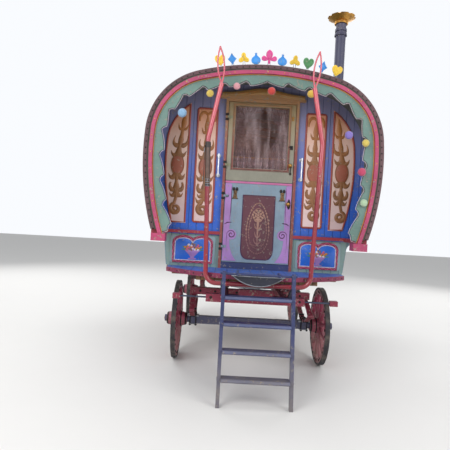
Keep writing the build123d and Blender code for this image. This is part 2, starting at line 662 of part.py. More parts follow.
def make_ladder():
    bar = drum(0, LADDER_BAR_Y, LADDER_BAR_Z, LADDER_BAR, 2 * LADDER_BAR_HALF)
    front = LADDER_BAR_Y - LADDER_BAR - BAR_BRACKET_WALL
    back = LADDER_BAR_Y + BAR_BRACKET_BACK
    x0, x1 = BAR_BRACKET_X - BAR_BRACKET_WIDTH / 2, BAR_BRACKET_X + BAR_BRACKET_WIDTH / 2
    clip = block(x0, x1, front, back, FLOOR_TOP, LADDER_BAR_Z + LADDER_BAR + BAR_BRACKET_WALL)
    keep("ladder_bar", bar + both_sides(clip))
    half = LADDER_DEPTH / 2
    side = make_face(Polyline(
        (LADDER_FOOT_Y - half, 0), (LADDER_FOOT_Y + half, 0), (LADDER_BAR_Y + half, LADDER_BAR_Z),
        (LADDER_BAR_Y - half, LADDER_BAR_Z), (LADDER_FOOT_Y - half, 0),
    ))
    side += Pos(LADDER_BAR_Y, LADDER_BAR_Z) * Circle(half)
    side -= Pos(LADDER_BAR_Y, LADDER_BAR_Z) * Circle(LADDER_BAR + RUNNING)
    inner, outer = LADDER_TOP_HALF - LADDER_RAIL / 2, LADDER_TOP_HALF + LADDER_RAIL / 2
    keep("ladder_rails", both_sides(along(side, inner, outer)))
    treads = Part()
    for z in TREAD_HEIGHTS:
        y = LADDER_FOOT_Y + (LADDER_BAR_Y - LADDER_FOOT_Y) * z / LADDER_BAR_Z
        treads += Pos(0, y, z) * Box(2 * inner, TREAD_DEPTH, TREAD_THICK)
    keep("ladder_treads", treads)


def make_chimney():
    """The stove, its pipe up through the roof, the plate round the pipe there, and the petalled crown."""
    base = FLOOR_TOP + STOVE_LEG + STOVE_HEIGHT
    length = CHIMNEY_TOP - base
    bore = CHIMNEY_RADIUS - CHIMNEY_WALL
    pipe = Pos(0, 0, base + length / 2) * (Cylinder(CHIMNEY_RADIUS, length) - Cylinder(bore, length))
    collar = Cylinder(CHIMNEY_RADIUS + COLLAR_PROUD, COLLAR_HEIGHT) - Cylinder(bore + RUNNING, COLLAR_HEIGHT)
    place = Pos(CHIMNEY_X, CHIMNEY_Y, 0)
    keep("chimney_pipe", place * (pipe + Pos(0, 0, CHIMNEY_TOP - COLLAR_DROP) * collar))
    band = bow_band(COVER_THICK + SEAT + FLASHING_THICK, COVER_THICK + SEAT, LEDGE_TOP)
    plate = across(band, CHIMNEY_Y - FLASHING_RADIUS, CHIMNEY_Y + FLASHING_RADIUS)
    plate &= place * Pos(0, 0, CROWN_Z) * Cylinder(FLASHING_RADIUS, 2 * SHOULDER_RADIUS)
    keep("chimney_flashing", plate - place * Pos(0, 0, CROWN_Z) * Cylinder(CHIMNEY_RADIUS + SEAT, 2 * SHOULDER_RADIUS))
    seat = CHIMNEY_RADIUS + SEAT
    profile = make_face(Polyline(
        (seat, 0), (CHIMNEY_RADIUS + CROWN_BASE, 0), (CROWN_RADIUS - CROWN_WAIST, CROWN_HEIGHT * 0.55),
        (CROWN_RADIUS, CROWN_HEIGHT), (CROWN_RADIUS - CROWN_LIP, CROWN_HEIGHT),
        (CROWN_RADIUS - CROWN_WAIST - CROWN_LIP, CROWN_HEIGHT * 0.7), (seat, CROWN_SEAT), (seat, 0),
    ))
    crown = revolve(Plane.XZ * profile, axis=Axis.Z)
    for number in range(PETALS):
        turn = Rot(0, 0, 360 * (number + 0.5) / PETALS)
        crown -= turn * Pos(CROWN_RADIUS + PETAL_NOTCH / 2, 0, CROWN_HEIGHT) * Cylinder(PETAL_NOTCH, 2 * CROWN_HEIGHT)
    keep("chimney_crown", place * Pos(0, 0, CHIMNEY_TOP - CROWN_DROP) * crown)
    x0, x1 = CHIMNEY_X - 2 * STOVE_HALF + CHIMNEY_RADIUS, CHIMNEY_X + CHIMNEY_RADIUS
    y0, y1 = WALL + STOVE_BACK, WALL + STOVE_BACK + STOVE_DEPTH
    body = block(x0, x1, y0, y1, FLOOR_TOP + STOVE_LEG, base)
    for x in (x0 + STOVE_LEG_INSET, x1 - STOVE_LEG_INSET):
        for y in (y0 + STOVE_LEG_INSET, y1 - STOVE_LEG_INSET):
            body += Pos(x, y, FLOOR_TOP + STOVE_LEG / 2) * Cylinder(STOVE_LEG_RADIUS, STOVE_LEG)
    keep("stove", body)


def make_spoke(start, end):
    """A tapered eight-sided spoke along X, wider along the hub than across it."""
    ends = []
    for x, (deep, wide) in ((start, SPOKE_ROOT), (end, SPOKE_TIP)):
        cut = wide * SPOKE_CHAMFER
        a, b = deep / 2, wide / 2
        corners = [(a, b - cut), (a - cut, b), (cut - a, b), (-a, b - cut)]
        corners += [(-y, -z) for y, z in corners]
        plane = Plane(origin=(x, 0, 0), x_dir=(0, 0, 1), z_dir=(1, 0, 0))
        ends.append(plane * make_face(Polyline(*corners, corners[0])))
    return loft(ends)


def make_wheel(name, x, y, radius, spokes):
    """A wooden wheel: turned hub, tapered spokes and felloes, with its tyre as a piece of its own."""
    side = 1 if x > 0 else -1
    half = HUB_LENGTH / 2
    profile = make_face([
        Polyline((AXLE_ARM + RUNNING, -half), (HUB_END_RADIUS, -half)),
        ThreePointArc((HUB_END_RADIUS, -half), (HUB_RADIUS, 0), (HUB_END_RADIUS, half)),
        Polyline((HUB_END_RADIUS, half), (AXLE_ARM + RUNNING, half)),
        Line((AXLE_ARM + RUNNING, half), (AXLE_ARM + RUNNING, -half)),
    ])
    hub = revolve(Plane.XZ * profile, axis=Axis.Z)
    outer = radius - TYRE_DEPTH
    inner = outer - FELLOE_DEPTH
    wheel = hub + (Cylinder(outer, FELLOE_WIDTH) - Cylinder(inner, FELLOE_WIDTH))
    spoke = make_spoke(HUB_RADIUS - SPOKE_SUNK, inner + SPOKE_SUNK)
    for number in range(spokes):
        wheel += Rot(0, 0, 360 * (number + 0.5) / spokes) * spoke
    place = Pos(x, y, radius) * Rot(0, 90 * side, 0)
    keep(name, place * wheel)
    tyre = Cylinder(radius, TYRE_WIDTH) - Cylinder(outer + SEAT, TYRE_WIDTH)
    keep(name + "_tyre", place * tyre)


def make_axle(name, y, radius):
    """A wooden axle bed with an iron arm at each end, and the nut that keeps the wheel on."""
    low, high = radius - AXLE_HALF_HEIGHT, radius + AXLE_HALF_HEIGHT
    bed = block(-AXLE_BEAM_HALF, AXLE_BEAM_HALF, y - AXLE_WIDTH / 2, y + AXLE_WIDTH / 2, low, high)
    end = TRACK_HALF + HUB_LENGTH / 2 + RUNNING
    arm = drum((end + AXLE_BEAM_HALF) / 2, y, radius, AXLE_ARM, end - AXLE_BEAM_HALF)
    collar_end = TRACK_HALF - HUB_LENGTH / 2 - RUNNING
    collar = drum((collar_end + AXLE_BEAM_HALF) / 2, y, radius, NUT_RADIUS, collar_end - AXLE_BEAM_HALF)
    nut = drum(end + NUT_LENGTH / 2, y, radius, NUT_RADIUS, NUT_LENGTH)
    keep(name, bed + both_sides(arm + collar + nut))


def make_springs(name, y, radius):
    """Full elliptic leaf springs: two bowed packs, eye to eye."""
    arc_radius = (SPRING_HALF ** 2 + SPRING_SAG ** 2) / (2 * SPRING_SAG)
    spread = degrees(asin(SPRING_HALF / arc_radius))
    pack = Sketch()
    for number in range(LEAVES):
        low, high = arc_radius + number * LEAF, arc_radius + (number + 1) * LEAF
        turn = radians(spread * (1 - 0.2 * number))
        tips = [(r * sin(turn), r * cos(turn)) for r in (low, high)]
        (x0, z0), (x1, z1) = tips
        pack += make_face([
            ThreePointArc((-x0, z0), (0, low), (x0, z0)), Line((x0, z0), (x1, z1)),
            ThreePointArc((x1, z1), (0, high), (-x1, z1)), Line((-x1, z1), (-x0, z0)),
        ])
    pack = Pos(0, -(arc_radius - SPRING_SAG)) * pack
    pair = pack + mirror(pack, Plane.XZ)
    for side in (-1, 1):
        pair += Pos(side * SPRING_HALF, 0) * Circle(SPRING_EYE)
    centre = radius + AXLE_HALF_HEIGHT + SPRING_HEIGHT / 2
    half = SPRING_WIDTH / 2
    keep(name, both_sides(Pos(0, y, centre) * along(pair, SPRING_X - half, SPRING_X + half)))


def make_forecarriage():
    half = BOLSTER_WIDTH / 2
    y0, y1 = FRONT_AXLE_Y - half, FRONT_AXLE_Y + half
    bolster = block(-BOLSTER_HALF, BOLSTER_HALF, y0, y1, FRONT_BOLSTER_Z, FUTCHELL_Z)
    bore = Pos(0, FRONT_AXLE_Y, FUTCHELL_Z) * Cylinder(KINGPIN + RUNNING, BODY_LENGTH)
    front = SPLINTER_Y + SPLINTER_WIDTH / 2
    half = SILL_WIDTH / 2
    arms = both_sides(block(SILL_X - half, SILL_X + half, front, FUTCHELL_REAR, FUTCHELL_Z, RING_Z))
    inner = SILL_X - half - SEAT
    arms += block(-inner, inner, FUTCHELL_REAR - FUTCHELL_TIE, FUTCHELL_REAR, FUTCHELL_Z, RING_Z)
    ring = Cylinder(RING_OUTER, RING_THICK) - Cylinder(RING_INNER, RING_THICK)
    keep("fore_bolster", bolster - bore)
    keep("futchells", arms)
    keep("turntable_lower", Pos(0, FRONT_AXLE_Y, RING_Z + RING_THICK / 2) * ring)
    upper = Pos(0, FRONT_AXLE_Y, UPPER_RING_Z + RING_THICK / 2) * ring
    low = FRONT_BOLSTER_Z - KINGPIN_DROP
    pin = Pos(0, FRONT_AXLE_Y, (low + SILL_BOTTOM) / 2) * Cylinder(KINGPIN, SILL_BOTTOM - low)
    pin += Pos(0, FRONT_AXLE_Y, low + KINGPIN_HEAD_THICK / 2) * Cylinder(KINGPIN_HEAD, KINGPIN_HEAD_THICK)
    keep("turntable_and_kingpin", upper + pin)


def make_splinter_bar():
    """The draught beam across the front: a thick middle, a rod to each side and a block at each end."""
    middle_z = (FUTCHELL_Z + RING_Z) / 2
    half = SPLINTER_WIDTH / 2
    y0, y1 = SPLINTER_Y - half, SPLINTER_Y + half
    beam = block(-SPLINTER_HALF, SPLINTER_HALF, y0, y1, middle_z - half, middle_z + half)
    top = middle_z + half + DRAUGHT_BLOCK_HEIGHT
    beam += block(-DRAUGHT_BLOCK_HALF, DRAUGHT_BLOCK_HALF, y0, y1, middle_z + half, top)
    beam -= Pos(0, SPLINTER_Y, middle_z) * Cylinder(DRAUGHT_BORE, BODY_LENGTH)
    inner = SPLINTER_REACH - SPLINTER_BLOCK
    side, height = SPLINTER_BLOCK_SIDE, SPLINTER_BLOCK_HEIGHT
    beam += both_sides(Pos(SPLINTER_REACH - SPLINTER_BLOCK / 2, SPLINTER_Y, middle_z) * Box(SPLINTER_BLOCK, side, height))
    keep("splinter_bar", beam)
    bars = both_sides(rod((SPLINTER_HALF, SPLINTER_Y, middle_z), (inner, SPLINTER_Y, middle_z), SPLINTER_ROD))
    eye = SHAFT_RADIUS + BRACKET_WALL
    foot_z = middle_z + half
    arm = make_face(Polyline(
        (y0, foot_z), (y1, foot_z), (SHAFT_Y + eye, SHAFT_Z), (SHAFT_Y - BRACKET_NECK, SHAFT_Z - eye + 2 * RUNNING),
        (y0, foot_z),
    ))
    arm += Pos(SHAFT_Y, SHAFT_Z) * Circle(eye)
    arm -= Pos(SHAFT_Y, SHAFT_Z) * Circle(SHAFT_RADIUS + RUNNING)
    half = BRACKET_THICK / 2
    keep("shaft_irons", bars + both_sides(along(arm, BRACKET_X - half, BRACKET_X + half)))


def make_shafts():
    """One tube: the bottom bar in the brackets, a bend each side, and posts that bow in to a loop at the tip."""
    points = [
        (0, SHAFT_Y, SHAFT_Z),
        (SHAFT_HALF, SHAFT_Y, SHAFT_Z),
        (SHAFT_BELLY_HALF, SHAFT_Y, SHAFT_BELLY_Z),
        (SHAFT_TIP_HALF, SHAFT_Y, SHAFT_TIP_Z),
    ]
    path = FilletPolyline(*points, radius=SHAFT_BEND)
    tube = sweep(Plane(origin=points[0], z_dir=(1, 0, 0)) * Circle(SHAFT_RADIUS), path=path)
    keep("shafts", both_sides(tube))
    low = (SHAFT_TIP_HALF, SHAFT_Y, SHAFT_TIP_Z)
    high = (SHAFT_TIP_HALF + LOOP_OUT, SHAFT_Y, SHAFT_TIP_Z + LOOP_RISE)
    loop = Part()
    for bulge in (-LOOP_OUT, LOOP_OUT):
        middle = ((low[0] + high[0]) / 2 + bulge, SHAFT_Y, (low[2] + high[2]) / 2)
        path = ThreePointArc(low, middle, high)
        loop += sweep(Plane(origin=low, z_dir=path % 0) * Circle(LOOP_ROD), path=path)
    loop += Pos(*high) * Sphere(LOOP_ROD + 2 * RUNNING)
    keep("shaft_loops", both_sides(loop - tube))


def lean_of(across_x, up_z):
    """The angle from upright of a run that goes so far sideways and so far up."""
    return degrees(atan2(across_x, up_z))


def make_shaft_strap():
    """A leather collar buckled round the left shaft, with its end hanging down outside it."""
    lean = lean_of(SHAFT_BELLY_HALF - SHAFT_HALF, SHAFT_BELLY_Z - SHAFT_Z)
    x = SHAFT_HALF + (HANGER_Z - SHAFT_Z) * (SHAFT_BELLY_HALF - SHAFT_HALF) / (SHAFT_BELLY_Z - SHAFT_Z)
    inner = SHAFT_RADIUS + SEAT
    collar = Cylinder(inner + HANGER_THICK, HANGER_HEIGHT) - Cylinder(inner, HANGER_HEIGHT)
    strap = Pos(x, SHAFT_Y, HANGER_Z) * Rot(0, lean, 0) * collar
    edge = x + inner + HANGER_THICK
    half = HANGER_WIDTH / 2
    x0, x1 = edge - RUNNING, edge - RUNNING + HANGER_THICK
    strap += block(x0, x1, SHAFT_Y - half, SHAFT_Y + half, HANGER_Z - HANGER_DROP, HANGER_Z)
    keep("shaft_strap", mirror(strap, Plane.YZ))


def finish():
    """Centres the length on Y 0 and writes each piece to its own file."""
    os.makedirs("parts", exist_ok=True)
    for name, shape in PIECES.items():
        export_step(Pos(0, Y_SHIFT, 0) * shape, "parts/" + name + ".step")
        print(name, round(shape.volume / 1e6, 2), "litres")
    print("shift of Y:", Y_SHIFT)


make_floor_and_chassis()
make_bolsters()
make_lower_sides()
make_ledges()
make_end_walls()
make_roof()
make_fascias()
make_front_panels()
make_door_frame()
make_door_hinges()
make_doors()
make_grab_handles()
make_porch()
make_ladder()
make_chimney()
for side_name, side_x in (("left", -TRACK_HALF), ("right", TRACK_HALF)):
    make_wheel("wheel_front_" + side_name, side_x, FRONT_AXLE_Y, FRONT_RADIUS, FRONT_SPOKES)
    make_wheel("wheel_rear_" + side_name, side_x, REAR_AXLE_Y, REAR_RADIUS, REAR_SPOKES)
make_axle("front_axle", FRONT_AXLE_Y, FRONT_RADIUS)
make_axle("rear_axle", REAR_AXLE_Y, REAR_RADIUS)
make_springs("front_springs", FRONT_AXLE_Y, FRONT_RADIUS)
make_springs("rear_springs", REAR_AXLE_Y, REAR_RADIUS)
make_forecarriage()
make_splinter_bar()
make_shafts()
make_shaft_strap()
finish()
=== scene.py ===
# %% [markdown]
# # A painted bow-top living wagon
# This script dresses a finished construction model. The model holds the real pieces at their real
# size, in metres, with +Z up and the front of the wagon towards -Y. Here each piece gets its paint,
# and the carving, cloth, trim and fixings that the construction leaves out are built around it.

# %% Load the frame
import json
from math import cos, hypot, pi, radians, sin, tau

import bmesh
import bpy
from mathutils import Matrix, Vector


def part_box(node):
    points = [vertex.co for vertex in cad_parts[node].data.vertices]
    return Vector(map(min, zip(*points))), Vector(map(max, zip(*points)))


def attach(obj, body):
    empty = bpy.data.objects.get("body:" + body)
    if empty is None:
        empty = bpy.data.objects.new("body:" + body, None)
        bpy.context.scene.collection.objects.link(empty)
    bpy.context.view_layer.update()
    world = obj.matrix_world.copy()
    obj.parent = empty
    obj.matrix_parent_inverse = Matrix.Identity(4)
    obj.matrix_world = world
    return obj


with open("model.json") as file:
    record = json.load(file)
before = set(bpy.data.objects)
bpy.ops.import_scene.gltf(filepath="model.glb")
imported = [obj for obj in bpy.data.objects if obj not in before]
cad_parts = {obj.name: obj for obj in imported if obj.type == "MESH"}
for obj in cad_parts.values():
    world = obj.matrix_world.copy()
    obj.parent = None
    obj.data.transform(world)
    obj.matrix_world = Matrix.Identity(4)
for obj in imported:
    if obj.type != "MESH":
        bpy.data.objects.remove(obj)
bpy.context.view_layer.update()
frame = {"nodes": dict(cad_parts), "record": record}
NODES = frame["nodes"]
print("pieces in the frame:", len(NODES))

# %% [markdown]
# ## The camera
# The photograph was taken at eye height, a little to the left of the door, with the camera not quite
# level. The camera looks straight along +Y, so the front stays square, and its small roll is kept.

# %% Camera
WALL_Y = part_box("front_wall")[0].y
CAMERA_DISTANCE = 4.93
CAMERA_PLACE = (-0.345, WALL_Y - CAMERA_DISTANCE, 1.62)
CAMERA_ROLL = radians(3.1)
FOCAL_LENGTH = 36.0
SENSOR_WIDTH = 36.0

camera = bpy.data.objects.new("camera", bpy.data.cameras.new("camera"))
camera.data.lens = FOCAL_LENGTH
camera.data.sensor_width = SENSOR_WIDTH
level = Matrix.Rotation(pi / 2, 4, "X")
camera.matrix_world = Matrix.Translation(CAMERA_PLACE) @ level @ Matrix.Rotation(CAMERA_ROLL, 4, "Z")
bpy.context.scene.collection.objects.link(camera)
bpy.context.scene.camera = camera
print("camera at", [round(v, 3) for v in camera.location])

# %% [markdown]
# ## Materials from expressions
# A material is a tree of nodes. Written node by node it is long and hard to read, so two small
# classes do the wiring. `Finish` is a material with one method that makes any node, and is kept under
# its name in FINISHES. `Wire` is one output of a node, and adding or multiplying wires adds the Math
# nodes for it. A colour is given as three linear values or as the six digits of a screen colour.

# %% Shader helpers
class Wire:
    """One output socket of a finish, on which sums can be written."""

    def __init__(self, finish, socket):
        self.finish = finish
        self.socket = socket

    def math(self, operation, *values):
        return self.finish.node("Math", {"operation": operation}, dict(enumerate(values)))

    def __add__(self, other):
        return self.math("ADD", self, other)

    def __mul__(self, other):
        return self.math("MULTIPLY", self, other)

    def __sub__(self, other):
        return self.math("SUBTRACT", self, other)

    def __rsub__(self, other):
        return self.math("SUBTRACT", other, self)

    __radd__ = __add__
    __rmul__ = __mul__

    def wave(self):
        return self.math("SINE", self)

    def size(self):
        return self.math("ABSOLUTE", self)

    def part(self):
        return self.math("FRACT", self)

    def step(self, low, high):
        """0 below low, 1 above high, and smooth between them."""
        values = {"Value": self, "From Min": low, "From Max": high}
        return self.finish.node("MapRange", {"interpolation_type": "SMOOTHSTEP"}, values)


FINISHES = {}


class Finish:
    """A material with one Principled shader, wired by expressions."""

    def __init__(self, name):
        self.material = FINISHES[name] = bpy.data.materials.new(name)
        self.material.use_nodes = True
        self.tree = self.material.node_tree
        self.shader = self.tree.nodes["Principled BSDF"]

    def feed(self, socket, value):
        if isinstance(value, Wire):
            self.tree.links.new(value.socket, socket)
        elif socket.type == "RGBA":
            socket.default_value = (*linear(value), 1.0)
        else:
            socket.default_value = value

    def set(self, socket, value):
        self.feed(self.shader.inputs[socket], value)

    def node(self, kind, settings=None, values=None, out=0):
        made = self.tree.nodes.new("ShaderNode" + kind)
        for key, value in (settings or {}).items():
            setattr(made, key, value)
        for key, value in (values or {}).items():
            self.feed(made.inputs[key], value)
        return Wire(self, made.outputs[out])

    def place(self, stretch=(1.0, 1.0, 1.0)):
        """Object coordinates, in metres, which may be stretched along an axis."""
        where = self.node("TexCoord", out="Object")
        return self.node("Mapping", {}, {"Vector": where, "Scale": stretch})

    def axis(self, letter, source=None):
        return self.node("SeparateXYZ", {}, {0: source or self.place()}, out=letter)

    def noise(self, scale, detail=3.0, rough=0.55, stretch=(1.0, 1.0, 1.0)):
        values = {"Scale": scale, "Detail": detail, "Roughness": rough}
        return self.node("TexNoise", {}, {"Vector": self.place(stretch), **values})

    def cells(self, values, feature="DISTANCE_TO_EDGE"):
        return self.node("TexVoronoi", {"feature": feature}, values)

    def mix(self, amount, first, second):
        return self.node("Mix", {"data_type": "RGBA"}, {0: amount, 6: first, 7: second}, out=2)

    def bump(self, height, distance, strength=1.0):
        values = {"Height": height, "Distance": distance, "Strength": strength}
        previous = self.shader.inputs["Normal"]
        if previous.is_linked:
            values["Normal"] = Wire(self, previous.links[0].from_socket)
        self.set("Normal", self.node("Bump", {}, values))


def linear(colour):
    """The colour as linear values."""
    if not isinstance(colour, str):
        return colour
    parts = [int(colour[start : start + 2], 16) / 255 for start in (0, 2, 4)]
    return tuple(v / 12.92 if v <= 0.04045 else ((v + 0.055) / 1.055) ** 2.4 for v in parts)


def tint(colour, amount):
    """The colour made lighter or darker by one factor."""
    return tuple(min(1.0, channel * amount) for channel in linear(colour))


print("helpers ready")

# %% [markdown]
# ## Hand-brushed paint
# The wagon is painted wood that has stood outside for years. Paint like that is never one colour: it
# has brush strokes, faded and darker clouds, small chips down to an older coat, and dust low down.
# One function makes all the paints, because only their colours, gloss and wear differ.

# %% Paint
UNDERCOAT = "9a8f80"
DUST = "8c8375"


def painted(name, colour, rough=0.42, wear=0.3, grain="Z", painted_lamplight=None, gloss=0.0, boards=None,
            below=None):
    """Brushed paint. grain is the axis of its strokes, boards the axis and width of grooved boards,
    below another colour under a height. The argument of two heights and a paler colour turns the paint
    to that colour between the heights: painted lamplight on its upper part."""
    finish = Finish(name)
    stretch = [0.08 if axis == grain else 1.0 for axis in "XYZ"]
    strokes = finish.noise(160.0, 3.0, 0.6, stretch)
    clouds = finish.noise(2.6, 4.0, 0.6)
    patches = finish.noise(9.0, 5.0, 0.65)
    tone = finish.mix(clouds.step(0.25, 0.75), tint(colour, 0.74), tint(colour, 1.14))
    tone = finish.mix(strokes.step(0.35, 0.85) * 0.3, tone, tint(colour, 1.35))
    # Painted lamplight: between the two heights the paint turns to the paler colour, as the lamps lit
    # its upper part.
    if painted_lamplight:
        height = finish.axis("Z")
        low, high, pale = painted_lamplight
        tone = finish.mix((height + clouds * 0.25).step(low, high), tone, pale)
    if below:
        height, other = below
        dappled = finish.mix(clouds.step(0.25, 0.75), tint(other, 0.8), tint(other, 1.12))
        tone = finish.mix(finish.axis("Z").step(height, height + 0.004), dappled, tone)
    chips = (finish.noise(38.0, 6.0, 0.7) + patches * 0.35).step(0.82 - 0.1 * wear, 0.86 - 0.1 * wear)
    tone = finish.mix(chips * 0.85, tone, UNDERCOAT)
    grime = (patches * 0.8 + clouds * 0.4).step(0.62, 0.95)
    tone = finish.mix(grime * (0.5 * wear + 0.1), tone, tint(colour, 0.42))
    low_dust = (1.0 - finish.axis("Z").step(0.05, 0.75)) * (patches * 0.7 + 0.15)
    tone = finish.mix(low_dust, tone, DUST)
    finish.set("Base Color", tone)
    finish.set("Roughness", (strokes * 0.18 + rough - 0.06) + chips * 0.2 + low_dust * 0.2)
    finish.bump(strokes + chips * -0.8, 0.0009)
    finish.bump(patches, 0.0016, 0.6)
    if gloss:
        finish.set("Coat Weight", (1.0 - chips) * gloss)
        finish.shader.inputs["Coat Roughness"].default_value = 0.12
    if boards:
        axis, width = boards
        across = (finish.axis(axis) * (1.0 / width) + 0.5).part()
        groove = (across - 0.5).size().step(0.46, 0.495)
        finish.set("Base Color", finish.mix(groove * 0.75, tone, tint(colour, 0.22)))
        finish.bump(groove * -1.0, 0.004)


LEDGE_HEIGHT = 1.5
BOARD = 0.088
# The paler colours that the wall, door frame, upper leaf, shafts and flue turn to towards their tops are
# painted lamplight.
painted("wall_blue", "2f63c8", 0.5, 0.45, painted_lamplight=(1.9, 3.1, "8482a4"), boards=("X", BOARD),
        below=(LEDGE_HEIGHT, "78918e"))
painted("side_paint", "6f8a96", 0.5, 0.6, boards=("Y", BOARD))
painted("ledge_red", "9a2f3c", wear=0.6, grain="Y")
painted("fascia_sage", "66837b", 0.5, 0.5, grain="X")
painted("moulding_pink", "ac4066", 0.45, 0.55, grain="X")
painted("frame_brown", "864640", wear=0.7, painted_lamplight=(2.5, 3.15, "b0845c"))
painted("door_grey_green", "8c8a7c", 0.5, 0.4, painted_lamplight=(2.4, 3.2, "a08a62"))
painted("door_grey_blue", "7f93a3", 0.5, 0.35)
painted("porch_blue", "3f6cc0", 0.5, 0.8, grain="Y", boards=("X", 0.12))
painted("porch_edge_red", "7a2246", 0.45, 0.7, grain="X")
painted("chassis_paint", "5a3640", 0.5, 0.7, grain="Y")
painted("running_gear_red", "84263e", wear=0.7, grain="X")
painted("navy_paint", "2e3660", 0.38, grain="X")
painted("apron_black", "262838", 0.3, grain="X")
painted("shaft_red", "8c1428", 0.3, 0.25, painted_lamplight=(2.0, 3.0, "c44a5a"), gloss=0.7)
painted("wheel_red", "963050", wear=0.6)
painted("flue_slate", "3e3e58", 0.45, painted_lamplight=(3.85, 4.2, "545064"))
print("paints:", len(FINISHES))

# %% [markdown]
# ## Metals, glass, leather and bare wood
# Iron rusts in specks, brass goes brown in patches, and steel keeps fine scratches. These are the
# same few noises as the paint, but they drive roughness more than colour.

# %% Other finishes
def metal(name, colour, tarnish, rough, metallic=1.0, spread=0.5):
    """Bare metal with a duller coat of its own tarnish over part of it."""
    finish = Finish(name)
    coat = (finish.noise(22.0, 6.0, 0.7) + finish.noise(3.0, 2.0) * 0.4).step(0.85 - 0.3 * spread, 0.95)
    scratches = finish.noise(320.0, 2.0, 0.5, (1.0, 1.0, 0.15))
    finish.set("Base Color", finish.mix(coat, colour, tarnish))
    finish.set("Metallic", (1.0 - coat * 0.7) * metallic)
    finish.set("Roughness", coat * 0.35 + scratches * 0.15 + rough)
    finish.bump(scratches + coat * 0.8, 0.0006)


def bare_wood(name, colour, boards=None):
    """Sawn boards with their grain along Y."""
    finish = Finish(name)
    rings = finish.noise(26.0, 5.0, 0.6, (1.0, 0.06, 1.0))
    fibres = finish.noise(240.0, 2.0, 0.5, (1.0, 0.04, 1.0))
    tone = finish.mix(rings.step(0.3, 0.7), tint(colour, 0.6), tint(colour, 1.25))
    finish.set("Base Color", finish.mix(fibres * 0.4, tone, tint(colour, 0.5)))
    finish.set("Roughness", fibres * 0.2 + 0.6)
    finish.bump(rings + fibres * 0.5, 0.0015)
    if boards:
        gap = ((finish.axis("X") * (1.0 / boards)).part() - 0.5).size().step(0.475, 0.495)
        finish.set("Base Color", finish.mix(gap, tone, tint(colour, 0.15)))
        finish.bump(gap * -1.0, 0.004)


def leather(name, colour):
    """Harness leather: a fine pebbled grain, and worn pale patches."""
    finish = Finish(name)
    grain = finish.cells({"Vector": finish.place(), "Scale": 600.0})
    worn = finish.noise(30.0, 5.0, 0.65).step(0.5, 0.75)
    finish.set("Base Color", finish.mix(worn * 0.6, colour, tint(colour, 2.4)))
    finish.set("Roughness", worn * 0.25 + 0.42)
    finish.bump(grain, 0.0006)


def window_glass(name, tone):
    """Old glass, fogged inside: cloudy, streaked where wet has run down, and beaded with drops, whose
    glints of light are painted near white.
    """
    finish = Finish(name)
    fog = finish.noise(3.4, 3.0, 0.5).step(0.36, 0.64)
    runs = finish.noise(11.0, 4.0, 0.6, (1.0, 1.0, 0.14)).step(0.40, 0.66)
    # The drops are painted near white: real beads of water, with the glints of light on them painted in.
    drop_glints = finish.noise(130.0, 2.0, 0.5).step(0.66, 0.72)
    tone = finish.mix(runs, "7c564c", tone)
    finish.set("Base Color", finish.mix(drop_glints, tone, "efe4e8"))
    finish.set("Roughness", fog * 0.3 + 0.08)
    finish.set("Alpha", fog * 0.20 + runs * 0.24 + drop_glints * 0.4 + 0.12)


window_glass("glass", "b8a0a2")
metal("dark_iron", "2b2a2c", "4a3026", 0.45, 0.7)
metal("steel", "9a9ea6", "5f554c", 0.38)
metal("bright_steel", "dadde4", "8c8880", 0.3)
metal("slate_iron", "464c5e", "3c3440", 0.45, 0.6)
metal("brass", "c8964c", "6a4a2a", 0.3, spread=0.7)
metal("old_bronze", "7c6248", "30241e", 0.34, spread=1.0)
bare_wood("floor_wood", "7a5a3c", 0.14)
bare_wood("bow_wood", "9a6a40")
leather("strap_leather", "2c2220")
leather("sleeve_hide", "5c463c")
print("finishes:", len(FINISHES))

# %% [markdown]
# ## Tyres
# The hoops on these wheels look nearly black. They are dull and speckled, with dried mud in patches.

# %% Tyre finish
tyre = Finish("tyre_black")
speckle = tyre.noise(70.0, 5.0, 0.7)
mud = (tyre.noise(8.0, 4.0, 0.6) + speckle * 0.3).step(0.58, 0.85)
tyre.set("Base Color", tyre.mix(mud * 0.7, "26242a", "6a6055"))
tyre.set("Roughness", speckle * 0.3 + 0.5)
tyre.bump(speckle, 0.0015)
print("made", tyre.material.name)

# %% [markdown]
# ## Canvas
# The roof is waxed canvas over bows and boards. Its weave is too fine to model, so it is a pair of
# crossed waves on the cloth's own flat coordinates, which are in metres. The wax has faded in clouds,
# stains run over it, and dirt gathers by the seams.

# %% Canvas finish
THREADS = 420.0
SEAM_SPACING = 0.92


def canvas_finish(name, colour):
    finish = Finish(name)
    flat = finish.node("UVMap", out="UV")
    across, along = finish.axis("X", flat), finish.axis("Y", flat)
    weave = (across * THREADS).wave() * (along * THREADS).wave()
    cloud = finish.noise(1.6, 5.0, 0.62)
    stain = finish.noise(5.0, 6.0, 0.7, (1.0, 1.0, 0.35))
    by_seam = ((along * (1.0 / SEAM_SPACING)).part() - 0.5).size().step(0.42, 0.5)
    tone = finish.mix(cloud.step(0.3, 0.7), tint(colour, 0.62), tint(colour, 1.3))
    tone = finish.mix(stain.step(0.5, 0.8) * 0.6, tone, "3a3a30")
    tone = finish.mix(by_seam * stain * 0.7, tone, tint(colour, 0.45))
    tone = finish.mix(weave * 0.06 + 0.06, tone, tint(colour, 1.7))
    finish.set("Base Color", tone)
    finish.set("Roughness", stain * 0.2 + 0.62)
    finish.bump(weave, 0.0008, 0.6)
    finish.bump(cloud, 0.01, 0.35)
    finish.shader.inputs["Sheen Weight"].default_value = 0.25


canvas_finish("canvas", "5c5f52")
canvas_finish("hem_cloth", "64484c")
print("finishes with the tyre's and two cloths:", len(FINISHES))
